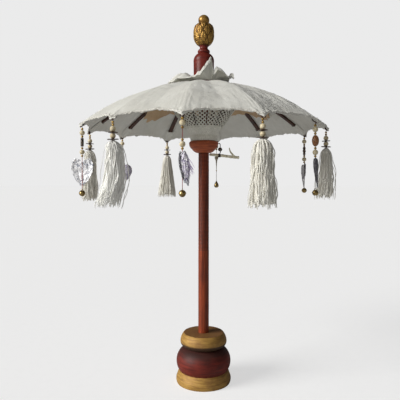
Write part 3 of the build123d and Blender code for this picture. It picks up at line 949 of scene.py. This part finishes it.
def ruffle(cloth):
    turns = np.array([row[0] for row in RUFFLE], float)
    table = np.array([(RUFFLE_TIE, *row[1:]) for row in RUFFLE], float)
    turns = np.concatenate([turns[-2:] - 360, turns, turns[:2] + 360])
    table = np.concatenate([table[-2:], table, table[:2]])
    grid = []
    for a in np.linspace(0, 360, RUFFLE_SIDES, endpoint=False):
        i = int(np.searchsorted(turns, a, side="right")) - 1
        t = smooth((a - turns[i]) / (turns[i + 1] - turns[i]))
        line = smooth_line(table[i] * (1 - t) + table[i + 1] * t, 9)
        c, s = on_circle(a)
        column = []
        for j, (r, z) in enumerate(line):
            out = j / (len(line) - 1)
            r += 1.1 * out * perlin(5 * c, 5 * s, out * 2)
            z += 1.8 * out * perlin(7 * c, 7 * s, 3 + out * 1.5) + 1.5 * (abs(perlin(15 * c, 15 * s, out * 3)) - 0.2)
            z = max(z, arc_z(CANOPY_R, r) + 1.2 + 0.6 * out)
            swing = radians(a + 3.0 * out * perlin(4 * c, 4 * s, 8.0))
            column.append((r * cos(swing), r * sin(swing), z))
        grid.append(column)
    grid = np.array(grid).transpose(1, 0, 2)
    rows = len(grid)
    flat = [[(a * 40 / RUFFLE_SIDES * 2 * pi, r * 45 / rows) for a in range(RUFFLE_SIDES)] for r in range(rows)]
    shape = Shape()
    shape.add_sheet(grid, 0.6, grid_normals(grid, wrap=True), flat, wrap=True)
    return shape.piece("crown_ruffle_cloth", [cloth], "mast", "canopy_cloth", ["crown_ruffle"], sharp=70)


# ---- peg and its cord ----
TWIG_R = 2.35
LASHING_AT, LASHING_LENGTH, LASHING_TURNS, LASHING_R = 15.0, 4.2, 4, 2.75
TETHER_BEAD_Z = 390.9
THREAD_TOP = 1.6               # where a strand's thread starts, below the pin
THREAD_R = 0.4
YARNS = 120                    # of a tassel
GOLDEN_ANGLE = 2.39996
YARN_FALL = 7.5                # height in which the yarns reach the disc's edge


def on_peg(points):
    """Points made along X from the peg's tip, put in place."""
    x, y, z = np.moveaxis(np.asarray(points, float), -1, 0)
    c, s = on_circle(PEG_DROP)
    return np.stack([PEG_START[0] + x * c + z * s, y, PEG_START[1] - x * s + z * c], axis=-1)


def twig(bark):
    xs = np.linspace(0.2, PEG_LENGTH, 40)
    path = [(x, 0.25 * sin(x / 6), 0.35 * sin(x / 9)) for x in xs]
    radius = [TWIG_R * min(1.0, 0.55 + x / 6) * (1 + 0.07 * sin(x * 0.9) + 0.05 * sin(x * 2.3)) for x in xs]
    radius[-1] *= 0.75
    points, faces = tube(path, radius, 16)
    points = [(x, y + 0.12 * perlin(x / 2, y, z), z + 0.12 * perlin(x / 2, z, 3)) for x, y, z in points]
    shape = Shape()
    shape.add(on_peg(points), faces)
    branch = smooth_line([(PEG_LENGTH - back, y, z) for back, y, z in
                          ((7.5, 0, 0), (11.5, 0, 3.5), (16.0, 0.3, 8.5), (18.4, 0.2, 14.6))], 6)
    points, faces = tube(branch, np.linspace(2.0, 0.9, len(branch)), 10)
    shape.add(on_peg(points), faces)
    return shape.piece("peg_twig", [bark], "peg", "twig", ["locking_pin"], sharp=70)


def peg_lashing(cord):
    """Cord wound round the twig."""
    path = [(LASHING_AT + LASHING_LENGTH * t, *(LASHING_R * part for part in on_circle(360 * LASHING_TURNS * t)))
            for t in np.linspace(0, 1, LASHING_TURNS * 16)]
    points, faces = tube(path, 0.5, 7)
    shape = Shape()
    shape.add(on_peg(points), faces)
    return shape.piece("peg_lashing", [cord], "peg", "dark_cord", ["pin_tether"])


def peg_tether(cord):
    """Cord from the ring, through its bead, to the lashing."""
    path = smooth_line([(24.2, -1, 401.0), (26.6, -1.2, 400.9), (TETHER_X, -1.0, 398.6), (TETHER_X, -0.6, 394.5),
                        (TETHER_X, -0.3, 391.0), (28.4, 0, 387.5), tuple(on_peg((17.5, 1.4, 2.4)))], 8)
    shape = Shape()
    shape.add(*tube(path, 0.75, 8))
    return shape.piece("peg_tether", [cord], None, "dark_cord", ["pin_tether"])


def tether_bead(glass):
    points, faces = bead_shape(3.7, 0.9)
    shape = Shape()
    shape.add(points + np.array([TETHER_X, -0.4, TETHER_BEAD_Z]), faces)
    return shape.piece("tether_bead", [glass], "runner", "dark_cord", ["pin_tether"])


# ---- hanging strands, made downwards from the pin at a rib's end ----
def bead_shape(radius, flat):
    """Turned bead with a dimple at each end of its hole."""
    hole = 0.14
    outline = [(radius * max(sin(t), hole) ** 0.94, -radius * flat * cos(t)) for t in np.linspace(0.34, pi - 0.34, 15)]
    end = radius * flat * 0.86
    return turned([(hole * radius, -end), *outline, (hole * radius, end)], 24)


def disc_shape(radius, thick):
    half = [(0.6, 1.0), (radius * 0.7, 1.0), (radius - 0.5, 0.8), (radius, 0.2)]
    outline = [(r, -z * thick / 2) for r, z in half] + [(r, z * thick / 2) for r, z in half[::-1]]
    return turned(outline, 36, lambda a, z: 0.12 * np.sin(3 * a + 1))


def bell_shape(radius):
    """Jingle bell: two halves, a seam round the middle and a slit below."""
    outline = [((radius + 0.35 * exp(-((t - pi / 2) / 0.07) ** 2)) * sin(t), -radius * cos(t))
               for t in np.linspace(0.05, pi - 0.05, 34)]
    points, faces = turned(outline, 40)
    for p in points:
        if p[2] < -0.1 * radius:
            cut = exp(-(p[0] / 0.45) ** 4)
            ends = exp(-(p[0] ** 2 + (abs(p[1]) - radius * 0.86) ** 2) / 1.4)
            p *= 1 - 0.30 * max(cut * (abs(p[1]) < radius * 0.9), 0.8 * ends)
    return points, faces


def loop_shape(radius, wire):
    """Small round loop in the rib's plane."""
    return tube([(radius * cos(t), 0, radius * sin(t)) for t in np.linspace(0, 2 * pi * 0.97, 22)], wire, 6)


def valve(length, width, cup, lean=0.0, frill=0.3, seed=0.0, heart=False, peak=0.72):
    """One shell: a cupped leaf of rows from its narrow end to its edge. Returns points, faces, growth, sheet faces."""
    rows, columns = 34, 25
    grid, growth = [], []
    for t in np.linspace(0, 1, rows):
        half = width / 2 * max(0.03, sin(pi * t ** peak)) ** 0.75
        if heart:
            half = width / 2 * max(0.04, sin(pi * (0.06 + 0.93 * t) ** 0.62)) ** 0.62
        row = []
        for a in np.linspace(-1, 1, columns):
            crinkle = perlin(a * 5 + seed, t * 7, seed) * frill + 0.5 * frill * perlin(a * 13, t * 16, seed)
            x = half * a * (1 + 0.05 * crinkle) + lean * t * t * length * 0.25
            y = cup * (1 - a * a) * (0.25 + 0.75 * sin(pi * min(1, t + 0.08))) + crinkle
            z = -length * t
            if heart:
                z -= 4.5 * exp(-(a / 0.30) ** 2) * (1 - t) ** 3 - 2.0 * abs(a) * (1 - t) ** 2
                y += 0.7 * sin(10 * a) * t * (1 - abs(a))
            row.append((x, y, z))
            growth.append(t * (1 + 0.25 * (1 - a * a)))
        grid.append(row)
    grid = np.array(grid)
    points, faces = shell_of(grid, 0.8, grid_normals(grid))
    return points, faces, np.tile(growth, 2), len(grid_faces(rows, columns))


def tassel_drift(t, lean, bulge):
    """Sideways place of a tassel's middle, a share t of the way down."""
    return [lean[i] * t * t + bulge[i] * sin(pi * t) for i in (0, 1)]


def tassel_core(top, bottom, spread, neck, lean, bulge, flare):
    """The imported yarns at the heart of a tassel, as one fluted body."""
    length = (bottom - top) * 0.93
    rows, sides = 44, 72
    grid = []
    for t in np.linspace(0, 1, rows):
        drift = tassel_drift(t, lean, bulge)
        out = neck * min(1.0, sqrt((length * t + 0.3) / YARN_FALL)) + (spread - neck) * t ** flare
        out *= 0.78 * (1 if t < 0.94 else 1 - 4 * (t - 0.94))
        for a in np.linspace(0, 2 * pi, sides, endpoint=False):
            c, s = cos(a), sin(a)
            flute = out * (1 + 0.07 * sin(17 * a + 1.5 * t) + 0.09 * perlin(5 * c, 5 * s, 3 * t))
            grid.append((flute * c + drift[0], flute * s + drift[1], -(top + length * t)))
    return np.array(grid), grid_faces(rows, sides, wrap=True) + end_faces(rows, sides)


def tassel_shape(draw, top, bottom, spread, neck, lean, wave, stray, bulge, flare):
    """Cotton yarns tied under the last disc: they spill over its edge and hang loose."""
    steps = np.linspace(0, 1, 30)
    pieces = [tassel_core(top, bottom, spread, neck, lean, bulge, flare)]
    for index in range(YARNS):
        radius_share = 0.35 + 0.65 * sqrt((index + 0.5) / YARNS)
        around = index * GOLDEN_ANGLE + draw.uniform(-0.2, 0.2)
        length = (bottom - top) * draw.uniform(0.88, 1.0)
        is_stray = index >= YARNS - stray
        if is_stray:
            length = (bottom - top) * 1.02
        reach = spread * radius_share * draw.uniform(0.86, 1.06) * (1.18 if is_stray else 1.0)
        shoulder = neck * (0.25 + 0.75 * radius_share)
        phases = [draw.uniform(0, 2 * pi) for _ in range(4)]
        speeds = [draw.uniform(0.09, 0.16), draw.uniform(0.22, 0.36)]
        sizes = [wave * draw.uniform(0.5, 1.5), wave * draw.uniform(0.15, 0.45)]
        twist = draw.uniform(-0.35, 0.35)
        path = []
        for t in steps:
            down = length * t
            out = shoulder * min(1.0, sqrt(down / YARN_FALL)) + (reach - shoulder) * t ** flare
            if is_stray:
                out += 0.28 * spread * sin(pi * t)
            place = tassel_drift(t, lean, bulge)
            for i, part in enumerate((cos(around + twist * t), sin(around + twist * t))):
                waves = [size * sin(speed * down + phase)
                         for size, speed, phase in zip(sizes, speeds, phases[2 * i:2 * i + 2])]
                place[i] += out * part + min(1.0, down / 14) * sum(waves)
            path.append((*place, -(top + down) + (0.8 if down == 0 else 0)))
        thick = 0.45 if is_stray else draw.uniform(0.6, 0.95)
        radii = [thick * (0.8 + 0.2 * sin(t * 9 + phases[0])) * (1 if t < 0.93 else 1 - 5 * (t - 0.93)) for t in steps]
        pieces.append(tube(path, radii, 6))
    return pieces


def twist_shape(length, radius, turns):
    """Two strips twisted round the thread, down from the origin. Yields the two."""
    radii = radius * 0.6 * (0.35 + 0.65 * np.sin(np.linspace(0.15, pi - 0.15, 40)))
    for phase in (0, pi):
        angles = phase + turns * np.linspace(0, 2 * pi, 40)
        path = np.stack([radius * 0.55 * np.cos(angles), radius * 0.55 * np.sin(angles),
                         np.linspace(0, -length, 40)], axis=-1)
        yield tube(path, radii, 8)


class Strand:
    """The pieces of one hanging strand, in its rib's own plane, placed under the pin. Depths are below the pin."""

    def __init__(self, number):
        self.name = f"strand_{number:02d}"
        self.shapes = {}
        self.angle = rib_angle(number)
        self.pin = np.array([TIP_PIN_X, 0.0, arc_z(RIB_MID_R, TIP_PIN_X)])
        self.add("loop", loop_shape(1.6, 0.45), 0)

    def add(self, kind, made, depth, face=0.0, value=0.0, marks=None, off=(0, 0)):
        """face turns the part about the thread, in degrees from the rib's plane; off is its place beside the thread."""
        points, faces = made
        points = turned_to(points, radians(face)) + np.array([*off, -depth])
        shape = self.shapes.setdefault(kind, Shape())
        shape.add(turned_to(points + self.pin, self.angle), faces, value=value)
        if marks:
            shape.marks[-len(faces):] = marks

    def beads(self, *rows):
        """Rows of kind, depth, radius and flatness."""
        for kind, depth, radius, flat in rows:
            self.add(kind, bead_shape(radius, flat), depth)

    def disc(self, depth, radius, thick, tilt):
        points, faces = disc_shape(radius, thick)
        points[:, 2] += points[:, 0] * tan(radians(tilt))
        self.add("discs", (points, faces), depth)

    def twist(self, top, bottom, radius, turns):
        for made in twist_shape(bottom - top, radius, turns):
            self.add("twist", made, top)

    def shell(self, kind, depth, off, face, **shape):
        points, faces, growth, sheet = valve(**shape)
        marks = [0] * sheet + [1] * sheet + [0] * (len(faces) - 2 * sheet)
        self.add(kind, (points, faces), depth, face, growth, marks, off)

    def bell(self, depth, radius):
        self.add("bell", bell_shape(radius), depth, face=20.0)
        self.add("bell", loop_shape(1.1, 0.35), depth - radius - 0.6)

    def finish(self, replaced_by, bottom, thread_kind, far_end):
        """Makes the pieces and the thread they hang on."""
        for kind, shape in self.shapes.items():
            look, slot = FINISHES[kind]
            shape.piece(f"{self.name}_{kind}", [LOOKS[name] for name in look], self.name, slot,
                                    [self.name] if kind == replaced_by else [],
                                    attribute="growth" if kind.startswith("shell") else None, sharp=60)
        depths = (THREAD_TOP, bottom * 0.3, bottom * 0.65, bottom)
        route = turned_to(np.array([(0, 0, -depth) for depth in depths]) + self.pin, self.angle) * MM
        data = bpy.data.curves.new(f"{self.name}_thread", "CURVE")
        data.dimensions = "3D"
        data.bevel_depth = THREAD_R * MM
        data.bevel_resolution = 2
        data.resolution_u = 8
        spline = data.splines.new("NURBS")
        spline.points.add(len(route) - 1)
        for point, place in zip(spline.points, route):
            point.co = (*place, 1)
        spline.order_u = 3
        spline.use_endpoint_u = True
        look, slot = FINISHES[thread_kind]
        data.materials.append(LOOKS[look[0]])
        cord = add_object(f"{self.name}_thread", data)
        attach(cord, self.name)


# Rib 11's tassel takes a brighter copy of the tassel yarn: painted light, as it hangs on the lit side.
PAINTED_LIGHT_TASSEL = 11
# Tassels by rib: depth of the yarns' top and bottom, spread at the bottom, radius below the disc, lean in the
# rib's plane and across it, waviness, stray yarns, bulge in the rib's plane and across it, how late it widens.
TASSELS = {
    1: (31.0, 122.5, 20.0, 10.0, (0.0, 0.0), 1.2, 1, (0.0, 0.0), 0.6),
    3: (31.0, 114.0, 14.0, 6.0, (-2.0, 1.0), 1.1, 10, (1.0, 0.0), 0.85),
    5: (31.0, 118.0, 16.0, 8.0, (0.0, 0.0), 1.0, 2, (0.0, 0.0), 0.7),
    7: (31.0, 119.0, 20.5, 6.5, (0.0, 0.0), 0.3, 0, (0.0, 0.0), 0.95),
    9: (31.0, 121.0, 14.0, 7.0, (0.0, -1.0), 0.9, 1, (0.0, 0.0), 0.7),
    11: (31.0, 122.0, 17.0, 7.5, (4.1, -5.4), 1.3, 6, (-2.7, 3.6), 0.5),
}


def tassel_strand(number):
    strand = Strand(number)
    strand.beads(("gold", 6.1, 1.8, 1.0), ("gold", 9.7, 1.8, 1.0), ("wood", 15.4, 3.95, 1.0))
    strand.disc(20.1, 6.8, 1.3, tilt=2.0)
    strand.beads(("wood", 24.8, 3.95, 1.0))
    strand.disc(29.5, 7.9, 1.4, tilt=-3.0)
    kind = "tassel_bright" if number == PAINTED_LIGHT_TASSEL else "tassel"
    for made in tassel_shape(random.Random(40 + number), *TASSELS[number]):
        strand.add(kind, made, 0)
    strand.finish(kind, 80.0, "dark_thread", "knot")


def shell_strand(number):
    strand = Strand(number)
    strand.beads(("gold", 6.1, 1.9, 1.0), ("wood", 12.0, 4.0, 1.0), ("gold", 17.9, 1.9, 1.0))
    return strand


def lower_beads(depth):
    return ("gold", depth, 1.9, 1.0), ("wood", depth + 5.8, 3.9, 1.0), ("gold", depth + 11.4, 1.8, 1.0)


def shell_strands():
    s = shell_strand(2)
    half = [(4.8, 1.5), (3.9, 5.2), (2.0, 7.8), (0.6, 8.2)]
    outline = [(r, -z) for r, z in half[::-1]] + half
    s.add("orange", turned(outline, 20, lambda a, z: 0.35 * np.sin(5 * a) * (np.abs(z) < 6)), 28.2)
    s.beads(*lower_beads(39.0))
    s.shell("shell_slate", 52.5, (0, 1), 232, length=43.0, width=8.0, cup=2.4, lean=-0.3, frill=0.5, seed=2.0,
            peak=0.42)
    s.bell(102.5, 4.4)
    s.finish("shell_slate", 97.0, "dark_thread", "fitting")

    s = shell_strand(4)
    s.twist(20.0, 37.0, 2.6, 1.6)
    s.beads(*lower_beads(39.0))
    s.shell("shell_slate", 52, (0.6, -2.4), 62, length=24.0, width=10.0, cup=2.2, lean=0.25, seed=4.0)
    s.shell("shell_pale", 55, (-1.4, 2.4), 118, length=41.0, width=7.0, cup=-2.2, lean=-0.2, seed=9.0, peak=0.5)
    s.bell(102.5, 4.6)
    s.finish("shell_slate", 97.0, "dark_thread", "fitting")

    s = shell_strand(6)
    s.add("grey", turned([(0.5, -10.5), (1.3, -7.5), (2.6, -4.0), (4.4, 0.0), (2.4, 3.4), (0.6, 6.0)], 9), 35.5)
    s.add("grey", turned([(0.5, -20.0), (0.7, -15.0), (1.1, -7.0), (1.7, -1.0), (0.9, 0.0)], 12), 41.0)
    s.beads(("gold", 63.0, 1.3, 0.88))
    drop = [(0.9, -6.9), (3.2, -6.2), (4.8, -4.2), (4.9, -1.6), (3.6, 2.0), (1.6, 5.6), (0.6, 7.8)]
    s.add("bell", turned(drop, 24), 92.0)
    s.finish("grey", 87.0, "dark_thread", "fitting")

    s = shell_strand(8)
    s.twist(21.0, 35.0, 1.6, 1.0)
    s.beads(("gold", 38.5, 1.9, 0.88), ("wood", 44.0, 3.7, 0.88))
    s.shell("shell_purple", 52.5, (-6.6, -5.4), 52, length=31.0, width=21.0, cup=3.4, frill=0.6, seed=11.0)
    s.beads(*[("wood_brown", depth, r, 0.88) for depth, r in ((83.5, 1.7), (87.0, 2.0), (90.8, 1.7), (94.2, 1.5))])
    s.bell(102.5, 4.2)
    s.finish("shell_purple", 97.5, "dark_thread", "fitting")

    s = shell_strand(10)
    s.add("dark_glass", turned([(1.2, -6.4), (2.3, -6.2), (2.5, 0), (2.3, 6.2), (1.2, 6.4)], 16), 26.5)
    s.beads(("gold", 35.6, 1.9, 0.88), ("wood", 41.6, 4.0, 0.88), ("gold", 47.4, 1.8, 0.88))
    s.shell("shell_white", 53.0, (0, -1.4), -30, length=39.5, width=35.0, cup=-3.0, frill=1.6, seed=6.0, heart=True)
    s.bell(104.5, 4.7)
    s.finish("shell_white", 99.0, "red_thread", "fitting")

    s = shell_strand(12)
    s.beads(*lower_beads(33.5))
    s.shell("shell_lilac", 48.0, (0, 1.8), 276, length=44.0, width=13.5, cup=2.6, lean=-0.5, frill=2.0, seed=15.0)
    s.shell("shell_slate", 48.5, (0.5, -2.6), 268, length=40.0, width=6.0, cup=2.0, lean=-0.6, frill=0.8, seed=5.0)
    draw = random.Random(7)
    for _ in range(16):
        drift = draw.uniform(9, 17)
        start = draw.uniform(49, 68)
        path = smooth_line([(0, 0, 0), (0, drift * 0.6, -7), (0.5, drift, -draw.uniform(12, 20))], 6)
        s.add("wisps", tube(path, np.linspace(0.6, 0.2, len(path)), 5), start)
    s.bell(102.0, 4.7)
    s.finish("shell_lilac", 97.0, "red_thread", "fitting")


# ---- everything together ----
make_camera()
make_stage()

LOOKS = {}


def looks(make, **rows):
    for name, values in rows.items():
        LOOKS[name] = make(name, *values)


looks(woven, canopy_cloth=((0.80, 0.795, 0.735), (0.70, 0.69, 0.625), 0.5, (0.60, 0.57, 0.47)),
      lining_cloth=((0.66, 0.47, 0.28), (0.44, 0.29, 0.16), 0.45))
looks(yarn, stitch_thread=((0.85, 0.84, 0.78), (0.66, 0.64, 0.57)),
      white_thread=((0.92, 0.91, 0.83), (0.74, 0.73, 0.65)),
      tassel_white=((0.96, 0.945, 0.875), (0.84, 0.815, 0.735), 0.7),
      # A brighter copy of tassel_white: painted light for the tassel on the lit side.
      tassel_bright=((1.0, 1.0, 0.96), (1.0, 0.99, 0.94), 0.7),
      dark_cord=((0.07, 0.055, 0.045), (0.025, 0.02, 0.018)),
      dark_thread=((0.16, 0.11, 0.07), (0.06, 0.04, 0.03)),
      red_thread=((0.45, 0.06, 0.04), (0.22, 0.025, 0.02)),
      wisp_thread=((0.70, 0.64, 0.76), (0.40, 0.32, 0.50)))
# True for gold_paint adds the red-brown flat top and the painted shade underneath.
looks(gilt, gold_paint=(None, True), gold_foot=(), gold_carved=("relief", False, 0.65, (0.30, 0.50)))
looks(lacquer, red_paint=((0.22, 0.028, 0.018), (0.11, 0.014, 0.010), (0.30, 0.12, 0.05)),
      # drum_paint's last True adds painted shade on its shoulder, under the cap.
      drum_paint=((0.20, 0.026, 0.016), (0.10, 0.013, 0.009), (0.30, 0.12, 0.05), (0.46, 0.64), True),
      ring_paint=((0.50, 0.125, 0.048), (0.27, 0.062, 0.026), (0.50, 0.22, 0.08)))
looks(pole_wood, pole_wood=())
looks(plain_wood, notch_wood=((0.42, 0.27, 0.14), (0.25, 0.15, 0.07)),
      bark=((1.0, 0.96, 0.76), (0.74, 0.68, 0.47), (1, 3, 3), (0.5, 0.75), 160),
      bead_cream=((0.78, 0.70, 0.50), (0.58, 0.47, 0.28), (1, 1, 5), (0.3, 0.5), 150),
      bead_brown=((0.20, 0.10, 0.05), (0.08, 0.035, 0.02), (1, 1, 5), (0.25, 0.45), 150),
      coconut=((0.11, 0.06, 0.035), (0.035, 0.018, 0.012), (1, 1, 1), (0.2, 0.4), 260),
      twist_horn=((0.20, 0.13, 0.09), (0.06, 0.04, 0.035), (1, 1, 3), (0.25, 0.5), 200),
      grey_bead=((0.52, 0.46, 0.36), (0.26, 0.22, 0.16), (1, 1, 2), (0.25, 0.45), 220),
      orange_resin=((0.40, 0.18, 0.075), (0.22, 0.09, 0.04), (1, 1, 2), (0.15, 0.35), 220))
looks(metal, bead_metal=((0.62, 0.41, 0.13), (0.27, 0.155, 0.05)),
      bell_metal=((0.46, 0.33, 0.13), (0.15, 0.10, 0.04), (0.14, 0.34)),
      dark_glass=((0.17, 0.145, 0.125), (0.045, 0.038, 0.034)))
looks(shell_finish,
      pearl=(((0.3, (0.42, 0.45, 0.50)), (0.5, (0.66, 0.68, 0.70)), (0.7, (0.80, 0.78, 0.74))), 9, 110),
      slate=(((0.3, (0.035, 0.035, 0.045)), (0.5, (0.10, 0.095, 0.11)), (0.7, (0.26, 0.25, 0.27))), 22, 130),
      purple=(((0.36, (0.10, 0.075, 0.17)), (0.47, (0.36, 0.32, 0.48)), (0.58, (0.84, 0.83, 0.87))), 20, 120),
      lilac=(((0.38, (0.30, 0.24, 0.42)), (0.47, (0.72, 0.68, 0.80)), (0.56, (0.93, 0.91, 0.93))), 14, 150))
looks(crinkled_shell, white_shell=((0.97, 0.97, 0.98), (0.16, 0.19, 0.30)),
      pale_shell=((0.80, 0.80, 0.82), (0.10, 0.10, 0.14)))

# What each kind of strand piece is made of, by its slot in the record.
FINISHES = {kind: (look.split(), slot) for slot, kinds in {
    "dark_cord": {"loop": "dark_thread", "wisps": "wisp_thread", "dark_thread": "dark_thread",
                  "red_thread": "red_thread"},
    "bead_gold": {"gold": "bead_metal"},
    "bead_wood": {"wood": "bead_cream", "wood_brown": "bead_brown", "orange": "orange_resin"},
    "coconut": {"discs": "coconut", "twist": "twist_horn", "dark_glass": "dark_glass", "grey": "grey_bead"},
    "tassel_cotton": {"tassel": "tassel_white", "tassel_bright": "tassel_bright"},
    "bell_metal": {"bell": "bell_metal"},
    "shell": {"shell_slate": "slate pearl", "shell_purple": "purple pearl", "shell_lilac": "lilac pearl",
              "shell_pale": "pale_shell pearl", "shell_white": "white_shell white_shell"},
}.items() for kind, look in kinds.items()}


def paint(node, material):
    NODES[node].data.materials.clear()
    NODES[node].data.materials.append(material)


for node, look in (("base_foot", "gold_foot"), ("base_cap", "gold_paint"), ("base_drum", "drum_paint"),
                   ("finial_base", "red_paint"), ("runner", "ring_paint"), ("top_notch", "notch_wood")):
    paint(node, LOOKS[look])
for number in range(1, RIBS + 1):
    wood = bamboo(f"bamboo_{number:02d}", -rib_angle(number))
    paint(f"rib_{number:02d}", wood)
    paint(f"strut_{number:02d}", wood)

for number in TASSELS:
    tassel_strand(number)
shell_strands()

for number in range(1, RIBS + 1):
    rib = f"rib_{number:02d}"
    panel = canopy_wedge(number, LOOKS["canopy_cloth"], LOOKS["stitch_thread"])
    fold_in(panel, number, f"{rib}_fold", CLOTH_KEEP, 100.0, 485.0)
    strip = lining_strip(number, LOOKS["lining_cloth"], LOOKS["stitch_thread"])
    fold_in(strip, number, f"{rib}_fold", CLOTH_KEEP, 120.0, 470.0)
    reach = sum(lining_edge(rib_azimuth(number) + o) for o in range(-15, 16)) / 31
    net_sector(number, LOOKS["white_thread"])
collar(LOOKS["white_thread"])
pole(LOOKS["pole_wood"])
carved_egg(LOOKS["gold_carved"])
crown = ruffle(LOOKS["canopy_cloth"])
twig(LOOKS["bark"])
peg_lashing(LOOKS["dark_cord"])
tether = peg_tether(LOOKS["dark_cord"])
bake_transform(tether)
tether_bead(LOOKS["dark_glass"])
